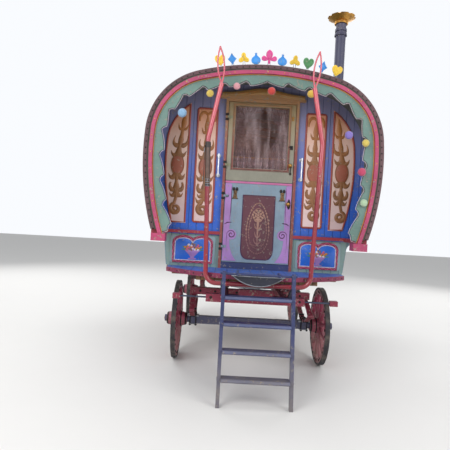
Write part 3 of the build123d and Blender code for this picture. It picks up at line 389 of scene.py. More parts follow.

# %% [markdown]
# ## Accent colours
# The wagon is painted in far more colours than its main pieces show: carved scrolls, borders, bands on
# the door, small flowers. Each gets the same painted finish as the boards, so it wears alike. The boards
# of the panels are cream above the ledge and grey-blue below it, with painted lamplight that turns them
# warmer towards their tops.

# %% Accent paints
# The scrolls and the door carving also turn paler towards their tops: painted lamplight.
painted("scroll_brown", "8d5f3a", wear=0.45, painted_lamplight=(2.45, 3.0, "ac6c34"))
painted("medallion", "9c5844", wear=0.5)
painted("border_red", "9c4638", wear=0.4)
painted("dull_crimson", "8a3844", wear=0.4)
painted("ochre", "a8804c", wear=0.5)
painted("old_gold", "b98c4c", 0.36, 0.5)
painted("dusky", "8a6260", 0.36, 0.5, painted_lamplight=(1.55, 1.85, "a68070"))
# The nosings' paler navy is partly wear and partly a painted highlight on the treads' front edges.
painted("worn_highlit_navy", "5c6488", 0.3, 0.5, grain="X")
painted("mauve", "a67cb8", 0.4, 0.35)
painted("plum", "4a2048", 0.4, 0.35)
painted("maroon", "5b303c", 0.4, 0.5)
painted("rail_pink", "c06a98", 0.4, 0.4)
painted("inset_blue", "2a6ad0", 0.35)
painted("shell_white", "e4d6dc", 0.45)
painted("leaf_green", "4f8a58")
painted("rose", "d2607e")
painted("amber", "d08a3a")
for name, colour in (("sun_yellow", "e2bd3c"), ("sky_blue", "3f8fd8"), ("fair_pink", "e0569a")):
    painted(name, colour, 0.35, 0.25)

panel = Finish("panel_cream")
height = panel.axis("Z")
cloud = panel.noise(4.0, 5.0, 0.6)
brush = panel.noise(60.0, 3.0, 0.5, (1.0, 1.0, 0.08))
# Painted lamplight: the cream turns warmer towards the tops of the boards.
lamplit_top = (height + cloud * 0.3).step(2.55, 3.1)
rosy = (1.0 - (height + cloud * 0.2).step(1.7, 2.3)) * 0.6
cream = panel.mix(lamplit_top, "dcbcb0", "d0875a")
cream = panel.mix(rosy, cream, "dcc2ca")
tone = panel.mix(height.step(LEDGE_HEIGHT, LEDGE_HEIGHT + 0.01), "74909a", cream)
grime = (panel.noise(9.0, 6.0, 0.7) + cloud * 0.4).step(0.75, 1.0)
tone = panel.mix(grime * 0.5, tone, tint("a07058", 0.8))
panel.set("Base Color", panel.mix(brush * 0.12, tone, "f2ddcc"))
panel.set("Roughness", cloud * 0.2 + 0.38)
panel.bump(brush + grime * -0.6, 0.0009)
print("all finishes so far:", len(FINISHES))

# %% [markdown]
# ## The finish of each construction piece
# The record that comes with the frame already says which slot every piece takes, so the finishes are
# handed out by that list, but for five pieces that differ from others of their slot. A piece's own
# material slots are filled, and its shape isn't touched.

# %% Paint the frame
# The threshold's dark navy is partly its paint and partly painted shade, for the shadow at the foot of
# the lower leaf.
OTHER_FINISH = {
    "shaft_loops": "shaft_red", "threshold": "navy_paint", "porch_apron": "apron_black",
    "grab_handles": "bright_steel", "shaft_irons": "slate_iron",
}
for row in frame["record"]["subparts"]:
    node = NODES[row["node"]]
    node.data.materials.clear()
    node.data.materials.append(FINISHES[OTHER_FINISH.get(row["node"], row["material_slot"])])

# %% [markdown]
# ## A small kit for carving
# Most of what is added is carved or moulded trim: ridges that follow a line, and flat cut-outs with a
# softened edge. Both are rings of points joined to their neighbours, so one class collects them. A
# `place` function turns flat drawing coordinates and a height off the surface into a point in space.

# %% Shapes
RIDGE = ((-1.0, 0.0), (-0.75, 0.65), (-0.3, 1.0), (0.3, 1.0), (0.75, 0.65), (1.0, 0.0))
SIDES = (("left", -1), ("right", 1))


def front(y):
    """Drawing on a plane that faces the front, at y: across, up, and out of it."""
    return lambda across, up, out: (across, y - out, up)


def back(y):
    """The same on a plane that faces the rear."""
    return lambda across, up, out: (across, y + out, up)


def spaced(low, high, count):
    """Both ends of a range, and the values that part it into so many equal steps."""
    return [low + (high - low) * i / count for i in range(count + 1)]


def turns(count):
    """The angles of places that are evenly spaced round a circle."""
    return [tau * i / count for i in range(count)]


def box_outline(x0, x1, z0, z1):
    return [(x0, z0), (x1, z0), (x1, z1), (x0, z1)]


def oval(x, z, wide, tall, count):
    return [(x + wide * cos(turn), z + tall * sin(turn)) for turn in turns(count)]


def between(values, share):
    """The value at a share of the way along a list, between its neighbours."""
    spot = share * (len(values) - 1)
    low = min(int(spot), len(values) - 2)
    return values[low] + (values[low + 1] - values[low]) * (spot - low)


class Shape:
    """Corners and faces that are collected into one piece."""

    def __init__(self):
        self.corners = []
        self.faces = []

    def rings(self, rings, closed=False):
        """Joins rings of equal length into a tube, with capped ends unless it is closed on itself."""
        start, size, count = len(self.corners), len(rings[0]), len(rings)
        for ring in rings:
            self.corners += [tuple(corner) for corner in ring]
        for number in range(count if closed else count - 1):
            here, there = start + number * size, start + (number + 1) % count * size
            for corner in range(size):
                after = (corner + 1) % size
                self.faces.append((here + corner, here + after, there + after, there + corner))
        if not closed:
            for first in (start, start + (count - 1) * size):
                self.faces.append(tuple(range(first, first + size)))

    def bead(self, place, outline, half, height):
        """A raised ridge of one half width along a closed outline."""
        self.stroke(place, outline, [half] * 2, height, closed=True)

    def turned(self, spot, profile, sides):
        """A closed ring: a profile of radius and height, carried round by spot(turn, radius, height)."""
        self.rings([[spot(turn, r, h) for r, h in profile] for turn in turns(sides)], closed=True)

    def stroke(self, place, line, widths, height, closed=False):
        """A raised ridge along a drawn line, whose half width follows a list."""
        last = len(line) - 1
        rings = []
        for number, (a, b) in enumerate(line):
            before = line[number - 1] if number or closed else line[0]
            after = line[(number + 1) % len(line)] if number < last or closed else line[last]
            run, rise = after[0] - before[0], after[1] - before[1]
            length = hypot(run, rise) or 1.0
            half = between(widths, number / last)
            swell = height * min(1.0, 2.5 * half / max(widths))
            nx, nz = -rise / length * half, run / length * half
            rings.append([place(a + nx * s, b + nz * s, swell * h) for s, h in RIDGE])
        self.rings(rings, closed)

    def plate(self, place, outline, thick, soft):
        """A cut-out of an outline, with its front edge softened by an inset."""
        levels = [(outline, 0.0), (outline, thick - soft), (inset(outline, soft), thick)]
        self.rings([[place(a, b, height) for a, b in edge] for edge, height in levels])

    def ball(self, centre, radii, rows=8, columns=12):
        """A closed egg, with its rings about Z."""
        rings = []
        for share in spaced(0.0, 1.0, rows):
            turn = pi * min(max(share, 0.02), 0.98)
            edge = oval(centre[0], centre[1], radii[0] * sin(turn), radii[1] * sin(turn), columns)
            rings.append([(x, y, centre[2] + radii[2] * cos(turn)) for x, y in edge])
        self.rings(rings)

    def tube(self, line, radius, sides=8, closed=False):
        """A round rod along points in space."""
        rings, up = [], None
        points = [Vector(point) for point in line]
        count = len(points)
        for number, point in enumerate(points):
            before = points[number - 1] if number or closed else point
            after = points[(number + 1) % count] if number < count - 1 or closed else point
            along = (after - before).normalized()
            if up is None:
                up = along.orthogonal().normalized()
            up = (up - along * up.dot(along)).normalized()
            other = along.cross(up)
            ring = [point + (up * cos(turn) + other * sin(turn)) * radius for turn in turns(sides)]
            rings.append(ring)
        self.rings(rings, closed)

    def block(self, low, high, soft=0.0):
        """A block between two corners, with its long edges softened."""
        outline = box_outline(low[0], high[0], low[2], high[2])
        inner = inset(outline, soft)
        levels = [(inner, low[1]), (outline, low[1] + soft), (outline, high[1] - soft), (inner, high[1])]
        rings = [[(a, y, b) for a, b in edge] for edge, y in levels]
        self.rings(rings if soft else rings[1:3])

    def mesh(self, name):
        mesh = bpy.data.meshes.new(name)
        mesh.from_pydata(self.corners, [], self.faces)
        return turned_outwards(mesh, 1e-6)

    def finish(self, name, body, slot, finish=None, angle=40.0):
        """Makes the collected faces one piece, riding on a body."""
        return show(name, self.mesh(name), body, slot, finish, angle)


def turned_outwards(mesh, reach=0.0):
    """The mesh with its faces turned outwards, and corners within reach of each other joined."""
    shell = bmesh.new()
    shell.from_mesh(mesh)
    if reach:
        bmesh.ops.remove_doubles(shell, verts=shell.verts, dist=reach)
    bmesh.ops.recalc_face_normals(shell, faces=shell.faces)
    shell.to_mesh(mesh)
    shell.free()
    return mesh


def show(name, mesh, body, slot, finish=None, angle=40.0):
    """Puts a mesh in the scene as a piece, smooth but for edges that are sharper than an angle. Its
    finish is the one of its slot, unless another is named."""
    mesh.shade_smooth()
    mesh.set_sharp_from_angle(angle=radians(angle))
    mesh.materials.clear()
    mesh.materials.append(FINISHES[finish or slot])
    piece = bpy.data.objects.new(name, mesh)
    bpy.context.scene.collection.objects.link(piece)
    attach(piece, body)
    print(name, len(mesh.polygons), "faces")
    return piece


def inset(outline, distance):
    """A closed outline moved inwards, with its corners mitred."""
    if not distance:
        return list(outline)
    points = [Vector(point) for point in outline]
    ways = [(point - points[i - 1]).normalized() for i, point in enumerate(points)]
    area = sum(points[i - 1].cross(point) for i, point in enumerate(points))
    distance *= 2 if area > 0 else -2
    moved = []
    for into, here, out in zip(ways, points, ways[1:] + ways[:1]):
        middle = (into + out).orthogonal()
        moved.append(tuple(here + middle * (distance / max(middle.length_squared, 0.6))))
    return moved


def curve(start, first, second, end, steps=12):
    """Points of a smooth curve with two handles."""
    points = []
    for t in spaced(0.0, 1.0, steps):
        weights = ((1 - t) ** 3, 3 * t * (1 - t) ** 2, 3 * t * t * (1 - t), t**3)
        pairs = list(zip(weights, (start, first, second, end)))
        points.append(tuple(sum(weight * point[i] for weight, point in pairs) for i in (0, 1)))
    return points


def spiral(centre, radius, start, winds, steps=22, inner=0.12):
    """Points of a spiral that winds inwards from an angle."""
    points = []
    for t in spaced(0.0, 1.0, steps):
        reach = radius * (1 - (1 - inner) * t)
        turn = start + winds * tau * t
        points.append((centre[0] + reach * cos(turn), centre[1] + reach * sin(turn)))
    return points


def both_sides(right):
    """An outline from its right half, which starts and ends on the line of symmetry."""
    return right + [(-x, z) for x, z in reversed(right[1:-1])]


def chained(start, *parts):
    """Curves joined end to end, each given by its two handles, its end and its steps."""
    line = [start]
    for first, second, end, steps in parts:
        line += curve(line[-1], first, second, end, steps)[1:]
    return line


def middle_of(low, high):
    return [(a + b) / 2 for a, b in zip(low, high)]


print("carving kit ready")

# %% [markdown]
# ## Outlines read from the frame
# Trim has to sit exactly on what it trims. So the outline of a panel or board is read from its own
# front face: the edges that border only one front face, chained into loops.

# %% Outlines
def front_loops(node):
    """The closed outlines of a node's faces that lie furthest to the front."""
    shell = bmesh.new()
    shell.from_mesh(NODES[node].data)
    bmesh.ops.remove_doubles(shell, verts=shell.verts, dist=1e-5)
    low = min(corner.co.y for corner in shell.verts)
    faces = {face for face in shell.faces if all(abs(corner.co.y - low) < 1e-4 for corner in face.verts)}
    beside = {}
    for edge in shell.edges:
        if sum(face in faces for face in edge.link_faces) == 1:
            for one, other in (edge.verts, reversed(edge.verts)):
                beside.setdefault(one, []).append(other)
    loops = []
    while beside:
        start = min(beside, key=lambda corner: (round(corner.co.x, 4), round(corner.co.z, 4)))
        loop, here = [start], beside.pop(start)[0]
        while here in beside:
            loop.append(here)
            here = next((corner for corner in beside.pop(here) if corner in beside), start)
        loops.append([(corner.co.x, corner.co.z) for corner in loop])
    shell.free()
    return loops


def run_between_feet(loop, outer=True):
    """The outer or inner line of an arch-shaped loop, from its left foot to its right foot."""
    low = min(z for _, z in loop)
    feet = sorted((i for i, (x, z) in enumerate(loop) if z - low < 0.004), key=lambda i: loop[i][0])
    left, right = (feet[0], feet[-1]) if outer else (feet[1], feet[-2])
    if left > right:
        loop = loop[::-1]
        left, right = len(loop) - 1 - left, len(loop) - 1 - right
    one = loop[left : right + 1]
    other = (loop[right:] + loop[: left + 1])[::-1]
    runs = [run for run in (one, other) if min(z for _, z in run[1:-1]) > low + 0.01]
    return max(runs, key=len) if runs else one


def measure(line):
    """How far along a line each of its points is."""
    far = [0.0]
    for (a, b), (c, d) in zip(line, line[1:]):
        far.append(far[-1] + hypot(c - a, d - b))
    return far


def resample(line, count):
    """The same line with evenly spaced points, each with its direction out of the arch."""
    far = measure(line)
    points, spot = [], 0
    for wanted in spaced(0.0, far[-1], count):
        while spot < len(far) - 2 and far[spot + 1] < wanted:
            spot += 1
        share = (wanted - far[spot]) / (far[spot + 1] - far[spot])
        (a, b), (c, d) = line[spot], line[spot + 1]
        points.append((a + (c - a) * share, b + (d - b) * share))
    normals = []
    for number in range(count + 1):
        (a, b), (c, d) = points[max(number - 2, 0)], points[min(number + 2, count)]
        length = hypot(c - a, d - b)
        normals.append((-(d - b) / length, (c - a) / length))
    return points, normals


def pushed(line, count, distance):
    """The same line with evenly spaced points, moved out of the arch by a distance."""
    return [(x + nx * distance, z + nz * distance) for (x, z), (nx, nz) in zip(*resample(line, count))]


ARCH = run_between_feet(front_loops("roof_cover")[0])
ARCH_LENGTH = measure(ARCH)[-1]
PANEL_LOOPS = front_loops("wall_panels")
print("arch:", len(ARCH), "points,", round(ARCH_LENGTH, 3), "m over;", len(PANEL_LOOPS), "panels")

# %% [markdown]
# ## Geometry Nodes for small fixings
# Screws, tacks and bolts come in rows. Each is drawn once, standing up along +Z, and a node tree
# sets copies of it along a line of points or at scattered ones, facing the way each point says. The
# copies are made real, and the result is read back as a plain mesh.

# %% Rows of fixings
def fixing_tree(name, along_line):
    """A tree that sets a shape on points, or every so often along a line."""
    tree = bpy.data.node_groups.new(name, "GeometryNodeTree")
    tree.is_modifier = True
    for label, kind, default in (
        ("Geometry", "Geometry", None), ("Shape", "Object", None), ("Spacing", "Float", 0.1),
        ("Smallest", "Float", 0.95), ("Largest", "Float", 1.05), ("Seed", "Int", 3),
        ("Finish", "Material", None),
    ):
        socket = tree.interface.new_socket(name=label, in_out="INPUT", socket_type="NodeSocket" + kind)
        if default is not None:
            socket.default_value = default
    tree.interface.new_socket(name="Geometry", in_out="OUTPUT", socket_type="NodeSocketGeometry")

    def add(kind, links=None, **settings):
        made = tree.nodes.new(kind)
        for key, value in settings.items():
            setattr(made, key, value)
        for key, value in (links or {}).items():
            if isinstance(value, bpy.types.NodeSocket):
                tree.links.new(value, made.inputs[key])
            else:
                made.inputs[key].default_value = value
        return made.outputs

    given = add("NodeGroupInput")
    points = given["Geometry"]
    if along_line:
        line = add("GeometryNodeMeshToCurve", {"Mesh": points})["Curve"]
        spaced = {"Curve": line, "Length": given["Spacing"]}
        points = add("GeometryNodeResampleCurve", spaced, mode="LENGTH")["Curve"]
    facing = add("GeometryNodeInputNamedAttribute", {"Name": "facing"}, data_type="FLOAT_VECTOR")
    turned = add("FunctionNodeAlignRotationToVector", {"Vector": facing["Attribute"]}, axis="Z")
    ends = {2: given["Smallest"], 3: given["Largest"], "Seed": given["Seed"]}
    sizes = add("FunctionNodeRandomValue", ends, data_type="FLOAT")
    shape = add("GeometryNodeObjectInfo", {"Object": given["Shape"]}, transform_space="ORIGINAL")
    copies = add("GeometryNodeInstanceOnPoints", {
        "Points": points, "Instance": shape["Geometry"], "Rotation": turned["Rotation"],
        "Scale": sizes[1],
    })
    real = add("GeometryNodeRealizeInstances", {"Geometry": copies["Instances"]})
    dressed = {"Geometry": real["Geometry"], "Material": given["Finish"]}
    last = add("GeometryNodeSetMaterial", dressed)
    add("NodeGroupOutput", {"Geometry": last["Geometry"]})
    return tree


AT_POINTS = fixing_tree("fixings_at_points", False)
ALONG_LINE = fixing_tree("fixings_along_a_line", True)


def drawn_once(name, profile, sides=10):
    """A turned shape along +Z, from a profile of radius and height, kept out of the scene."""
    shape = Shape()
    shape.rings([[(x, y, z) for x, y in oval(0.0, 0.0, r, r, sides)] for r, z in profile])
    return bpy.data.objects.new(name, shape.mesh(name))


def fixings(name, body, slot, shape, points, facing=None, spacing=None, spread=0.05, finish=None):
    """Copies of a shape at points, or every so often along the line through them, as one plain mesh.
    Where they don't all face one way, each point comes in a pair with the way that it faces."""
    pairs = [(point, facing) for point in points] if facing else points
    mesh = bpy.data.meshes.new(name + "_points")
    edges = [(i, i + 1) for i in range(len(pairs) - 1)] if spacing else []
    mesh.from_pydata([point for point, _ in pairs], edges, [])
    attribute = mesh.attributes.new("facing", "FLOAT_VECTOR", "POINT")
    attribute.data.foreach_set("vector", [value for _, way in pairs for value in way])
    holder = bpy.data.objects.new(name + "_points", mesh)
    bpy.context.scene.collection.objects.link(holder)
    modifier = holder.modifiers.new("fixings", "NODES")
    modifier.node_group = ALONG_LINE if spacing else AT_POINTS
    settings = {
        "Shape": shape, "Spacing": spacing or 0.0, "Smallest": 1 - spread, "Largest": 1 + spread,
        "Finish": FINISHES[finish or slot],
    }
    for item in modifier.node_group.interface.items_tree:
        if item.name in settings and item.in_out == "INPUT":
            modifier[item.identifier] = settings[item.name]
    ready = holder.evaluated_get(bpy.context.evaluated_depsgraph_get())
    plain_mesh = bpy.data.meshes.new_from_object(ready)
    bpy.data.objects.remove(holder)
    return show(name, plain_mesh, body, slot, finish)


DOME_HEAD = drawn_once("dome_head", [(0.0062, 0), (0.006, 0.0015), (0.0045, 0.0032), (0.0015, 0.0042)])
TACK = drawn_once("tack", [(0.0075, 0), (0.007, 0.0022), (0.0045, 0.004), (0.001, 0.0048)], 8)
NUT_PROFILE = [(0.017, 0), (0.017, 0.003), (0.0115, 0.003), (0.0115, 0.012), (0.009, 0.0145)]
BOLT = drawn_once("bolt", NUT_PROFILE, 6)
COACH_BOLT = drawn_once("coach_bolt", [(0.014, 0), (0.0135, 0.003), (0.009, 0.0065), (0.002, 0.008)], 12)
print("trees:", AT_POINTS.name, ALONG_LINE.name)

# %% [markdown]
# ## The roof canvas
# The construction holds the roof's boards and bows as one stiff arch. The cloth that is stretched over
# them is made here: a grid that follows the arch, stands a little higher over each bow and sinks
# between them. A cloth simulation would add nothing to cloth pulled this tight, so the sag is a plain
# wave. Each cloth width is lapped on the next, which leaves a raised seam, and a folded hem is tacked
# over each end.

# %% Roof canvas
ROOF_LOW, ROOF_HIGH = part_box("roof_cover")
BOWS_LOW, BOWS_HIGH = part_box("roof_bows")
CANVAS_STEPS = 150
CANVAS_ROWS = 232
CANVAS_CLEAR = 0.0035
BOW_LIFT = 0.006
SEAM_HALF = 0.016
SEAM_EDGE = 0.003
SEAM_LIFT = 0.0022
CANVAS_LAP = 0.012
CLOTH_THICK = 0.0016
TACKS_DOWN = 0.017
HEM_HANG = 0.0085
HEM_PROFILE = (
    # into the roof from its end, and off the boards
    (0.05, 0.0075), (0.0, 0.0095), (-0.008, 0.0065), (-HEM_HANG, -0.030), (-0.0055, -0.030),
    (-0.0045, 0.0015), (0.05, 0.005),
)
BOW_SPACES = 4.04
ROOF_ENDS = (("front", ROOF_LOW.y, -1.0), ("rear", ROOF_HIGH.y, 1.0))
bow_pitch = (BOWS_HIGH.y - BOWS_LOW.y) / BOW_SPACES


def near_seam(y):
    """1 on a lapped seam between two cloth widths, and 0 away from it."""
    away = abs((y - ROOF_LOW.y) % SEAM_SPACING - SEAM_SPACING / 2)
    return max(0.0, min(1.0, (SEAM_HALF - away) / SEAM_EDGE + 1.0))


def canvas_height(share, y):
    """How far the cloth stands off the boards."""
    phase = (y - BOWS_LOW.y) / bow_pitch
    over_bow = (0.5 + 0.5 * cos(tau * phase)) ** 3
    crease = 0.0012 * sin(31.0 * share + 5.0 * y) * sin(13.0 * y + 9.0 * share)
    edge = min(share, 1 - share)
    return CANVAS_CLEAR + BOW_LIFT * over_bow * min(1.0, edge * 12) + crease + SEAM_LIFT * near_seam(y)


def cloth_mesh(name, corners, flat, wide):
    """A mesh of rows of corners, with their places on the flat cut as its UV map."""
    faces = []
    for corner in range(len(corners) - wide):
        if (corner + 1) % wide:
            faces.append((corner, corner + 1, corner + wide + 1, corner + wide))
    mesh = bpy.data.meshes.new(name)
    mesh.from_pydata(corners, [], faces)
    layer = mesh.uv_layers.new(name="flat")
    for loop in mesh.loops:
        layer.data[loop.index].uv = flat[loop.vertex_index]
    return mesh


def make_canvas():
    line, normals = resample(ARCH, CANVAS_STEPS)
    start, end = ROOF_LOW.y - CANVAS_LAP / 2, ROOF_HIGH.y + CANVAS_LAP / 2
    corners, flat = [], []
    for y in spaced(start, end, CANVAS_ROWS):
        for number, ((x, z), (nx, nz)) in enumerate(zip(line, normals)):
            lift = canvas_height(number / CANVAS_STEPS, y)
            corners.append((x + nx * lift, y, z + nz * lift))
            flat.append((number * ARCH_LENGTH / CANVAS_STEPS, y - start))
    mesh = turned_outwards(cloth_mesh("roof_canvas", corners, flat, CANVAS_STEPS + 1))
    piece = show("roof_canvas", mesh, "wagon", "canvas", angle=60.0)
    thick = piece.modifiers.new("thickness", "SOLIDIFY")
    thick.thickness = CLOTH_THICK
    thick.offset = -1.0
    cut = (ARCH_LENGTH, end - start)
    print("canvas cut", [round(v, 3) for v in cut])
    return piece, cut


def make_hem(name, y, out):
    """The folded hem along one end of the roof, turned over its edge."""
    hem, rings = Shape(), []
    for (x, z), (nx, nz) in zip(*resample(ARCH, CANVAS_STEPS)):
        rings.append([(x + nx * h, y + out * d, z + nz * h) for d, h in HEM_PROFILE])
    hem.rings(rings)
    return hem.finish(name, "wagon", "canvas", "hem_cloth")


canvas, canvas_cut = make_canvas()
hems = [make_hem("roof_hem_" + end, y, -way) for end, y, way in ROOF_ENDS]
for end, y, way in ROOF_ENDS:
    points = [(x, y + way * HEM_HANG, z) for x, z in pushed(ARCH, 200, -TACKS_DOWN)]
    fixings("roof_tacks_" + end, "wagon", "dark_iron", TACK, points, (0, way, 0), spacing=0.062)

# %% [markdown]
# ## Carved scrollwork on the tall panels
# Each tall panel carries a cut and carved ornament on its centre line: a stem with pairs of leaves, a
# medallion between them and a curl at the foot, and on the inner panels curled horns too. It is drawn
# in shares of the panel's half width and height, so one drawing fits both kinds of panel, and each
# line is a ridge whose width swells.

# %% Panel ornaments
PANEL_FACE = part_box("wall_panels")[0].y
TALL_LOOPS = [loop for loop in PANEL_LOOPS if max(z for _, z in loop) > 2.0]
LOW_LOOPS = [loop for loop in PANEL_LOOPS if max(z for _, z in loop) < 2.0]
CARVED = 0.009
BORDER_HALF = 0.0105
MEDALLION_SHARE = 0.480
CURL_WIDTHS = (0.17, 0.22, 0.27, 0.23, 0.18, 0.13, 0.09, 0.04)
OUTER_SPINE = (0.885, 0.897, 0.903, 0.893, 0.858, 0.832)
STEM_WIDTHS = (
    0.20, 0.28, 0.44, 0.32, 0.16, 0.26, 0.50, 0.64, 0.64, 0.64, 0.58, 0.36,
    0.24, 0.26, 0.30, 0.20, 0.18, 0.24, 0.32, 0.24, 0.14, 0.04,
)
LEAVES = (
    # the widths of each, and the four points that its curve is drawn by
    ((0.12, 0.18, 0.10, 0.02), (0.05, 0.80), (0.30, 0.785), (0.50, 0.80), (0.58, 0.845)),
    ((0.18, 0.28, 0.21, 0.11, 0.03), (0.06, 0.655), (0.45, 0.635), (1.02, 0.665), (0.68, 0.735)),
    ((0.24, 0.27, 0.14, 0.02), (0.12, 0.570), (0.50, 0.555), (0.72, 0.565), (0.86, 0.605)),
    ((0.24, 0.32, 0.17, 0.02), (0.10, 0.400), (0.50, 0.350), (0.75, 0.360), (0.94, 0.405)),
    ((0.22, 0.27, 0.18, 0.10), (0.10, 0.265), (0.55, 0.240), (0.90, 0.285), (0.64, 0.325)),
    ((0.20, 0.24, 0.12, 0.02), (0.10, 0.235), (0.40, 0.195), (0.60, 0.200), (0.76, 0.235)),
)


def panel_ornament(shape, place, spine, low, high, half, way, crowned):
    """One ornament, with its line of symmetry bent along a spine of X positions."""
    tall = high - low

    def at(u, v):
        return between(spine, v) + u * half, low + v * tall

    def line(*points):
        return [at(u, v) for u, v in curve(*points)]

    def widths(*values):
        return [value * half for value in values]

    stem = [at(0.0, v) for v in spaced(0.19, 0.96, 66)]
    shape.stroke(place, stem, widths(*STEM_WIDTHS), CARVED)
    for side in (-1, 1):
        for swell, *drawn in LEAVES:
            leaf = line(*[(side * u, v) for u, v in drawn])
            shape.stroke(place, leaf, widths(*swell), CARVED * 0.85)
        if crowned:
            head = line((side * 0.85, 0.90), (side * 0.95, 0.99), (side * 0.2, 1.0), (0, 0.955))
            shape.stroke(place, head, widths(0.09, 0.18, 0.18, 0.10), CARVED * 0.8)
            tail = line((side * 0.05, 0.19), (side * 0.5, 0.145), (side * 0.75, 0.15), (side * 0.9, 0.2))
            shape.stroke(place, tail, widths(0.15, 0.25, 0.15, 0.03), CARVED * 0.9)
    x, z = at(way * 0.10, 0.095)
    turn = spiral((x, z), 0.62 * half, pi * (0.42 if way > 0 else 0.58), -1.55 * way, 40)
    shape.stroke(place, [at(0.0, 0.205)] + turn, widths(*CURL_WIDTHS), CARVED)


def medallion(shape, rim, place, spine, low, high, half):
    x, z = between(spine, MEDALLION_SHARE), low + MEDALLION_SHARE * (high - low)
    wide, tall = 0.70 * half, 0.086 * (high - low)
    shape.ball(place(x, z, 0.004), (wide, 0.010, tall), 10, 20)
    rim.bead(place, oval(x, z, wide * 1.04, tall * 1.04, 40), 0.0045, 0.0095)


borders, scrolls, bosses = Shape(), Shape(), Shape()
on_panel = front(PANEL_FACE)
for loop in TALL_LOOPS:
    borders.bead(on_panel, inset(loop, BORDER_HALF * 0.9), BORDER_HALF, 0.0065)
    xs, zs = [x for x, _ in loop], [z for _, z in loop]
    low, high = min(zs) + 0.035, max(zs)
    side = 1 if xs[0] > 0 else -1
    inner = max(abs(x) for x in xs) < 0.75
    if inner:
        spine, half, high = [(min(xs) + max(xs)) / 2] * 2, 0.098, high - 0.03
    else:
        spine, half, high = [side * x for x in OUTER_SPINE], 0.096, high - 0.035
    panel_ornament(scrolls, on_panel, spine, low, high, half, side, inner)
    medallion(bosses, scrolls, on_panel, spine, low, high, half)
borders.finish("front_panel_borders", "wagon", "frame_brown", "border_red")
scrolls.finish("front_panel_scrolls", "wagon", "frame_brown", "scroll_brown", 50.0)
bosses.finish("front_panel_medallions", "wagon", "frame_brown", "medallion", 60.0)

# %% [markdown]
# ## The low panels
# Under the ledge are two wide panels. Each has a blue field with a double-arched top, a wide crimson
# border with a winding line on it, white shell work along its inner edge, and a pot of flowers. The
# shell work is one small dome repeated along a line, which is a job for Geometry Nodes.

# %% Low panels
FIELD = (0.490, 0.882, 1.212, 1.460)
BORDER = 0.028
SCROLL_STEPS = 216
STEPS_EACH_WAVE = 12
SCROLL_SWING = 0.0085
POT_FLOWERS = 22
LOW_PANEL_COLOURS = {
    "field": "inset_blue", "border": "dull_crimson", "pot": "mauve", "leaves": "leaf_green",
    "rose": "rose", "amber": "amber", "dusk": "dusky", "white": "shell_white", "scrolls": "fair_pink",
}
SHELL = drawn_once("shell", [(0.0062, 0), (0.006, 0.0018), (0.0042, 0.0042), (0.001, 0.0052)], 8)


def field_outline(side):
    """The blue field: straight sides, and a top of two arches that meet in a point."""
    x0, x1, z0, z1 = FIELD
    middle = (x0 + x1) / 2
    top = (middle + 0.03, z1 + 0.022), (middle, z1 - 0.045)
    right = curve((x1, z1 - 0.055), (x1 + 0.004, z1 + 0.012), *top, 14)
    left = [(2 * middle - x, z) for x, z in reversed(right)]
    return [(side * x, z) for x, z in [(x0, z0), (x1, z0)] + right + left[1:]]


def flower_pot(shapes, place, x, z):
    """A wide footed pot, its leaves, and a heap of round flowers."""
    profile = [(0.020, 0.0), (0.044, 0.005), (0.046, 0.012), (0.018, 0.020), (0.026, 0.036)]
    profile += [(0.056, 0.070), (0.082, 0.096), (0.086, 0.106)]
    outline = [(x + w, z + h) for w, h in profile] + [(x - w, z + h) for w, h in reversed(profile)]
    shapes["pot"].plate(place, outline, 0.009, 0.003)
    for side in (-1, 1):
        for reach, rise in ((0.120, 0.142), (0.128, 0.108)):
            tip = (x + side * reach * 0.8, z + rise), (x + side * reach, z + rise)
            stem = curve((x, z + 0.100), (x + side * reach * 0.5, z + 0.106), *tip, 8)
            shapes["leaves"].stroke(place, stem, [0.0045, 0.011, 0.0015], 0.006)
    for number in range(POT_FLOWERS):
        turn = number * 2.4
        reach = 0.0142 * number**0.5
        spot = place(x + reach * 1.4 * cos(turn), z + 0.132 + reach * 0.62 * sin(turn), 0.005)
        kind = ("rose", "amber", "white", "dusk")[number % 4]
        shapes[kind].ball(spot, (0.0135, 0.006, 0.0135), 5, 8)


def border_scrolls(shape, place, outline):
    """A pale line that winds along the middle of the border."""
    points = []
    line = list(zip(*resample(outline + outline[:1], SCROLL_STEPS)))[:SCROLL_STEPS]
    for number, ((x, z), (nx, nz)) in enumerate(line):
        away = BORDER / 2 + sin(tau * number / STEPS_EACH_WAVE) * SCROLL_SWING
        points.append((x - nx * away, z - nz * away))
    shape.bead(place, points, 0.0036, 0.0085)


shapes = {kind: Shape() for kind in LOW_PANEL_COLOURS}
for _, side in SIDES:
    outline = field_outline(side)
    shapes["field"].plate(on_panel, outline, 0.0025, 0.0008)
    shapes["border"].bead(on_panel, inset(outline, -BORDER / 2), BORDER / 2, 0.0065)
    flower_pot(shapes, on_panel, side * (FIELD[0] + FIELD[1]) / 2, FIELD[2] + 0.012)
    border_scrolls(shapes["scrolls"], on_panel, outline if side > 0 else outline[::-1])
for kind, colour in LOW_PANEL_COLOURS.items():
    shapes[kind].finish("front_low_panel_" + kind, "wagon", "side_paint", colour, 50.0)
for side_name, side in SIDES:
    edge = inset(field_outline(side), 0.004)
    points = [on_panel(x, z, 0.002) for x, z in resample(edge + edge[:1], 96)[0]]
    fixings("front_shell_work_" + side_name, "wagon", "side_paint", SHELL, points, (0, -1, 0),
            spacing=0.0128, spread=0.12, finish="shell_white")

# %% [markdown]
# ## The lower door leaf
# Mauve bands frame the lower leaf. They are narrow at the top and spread into a curl at the foot. A
# maroon inset sits in the middle, with a worn carving on it: an oval of paired buds round a column
# that carries a bunch of flowers. Beside its top stand two cast figures, in bronze with dark ears.

# %% Lower door leaf
LEAF_LOW, LEAF_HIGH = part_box("door_lower")
LEAF_FACE = LEAF_LOW.y
INSET = (-0.166, 0.190, 1.258, 1.962)
BUDS = 44
on_leaf = front(LEAF_FACE)


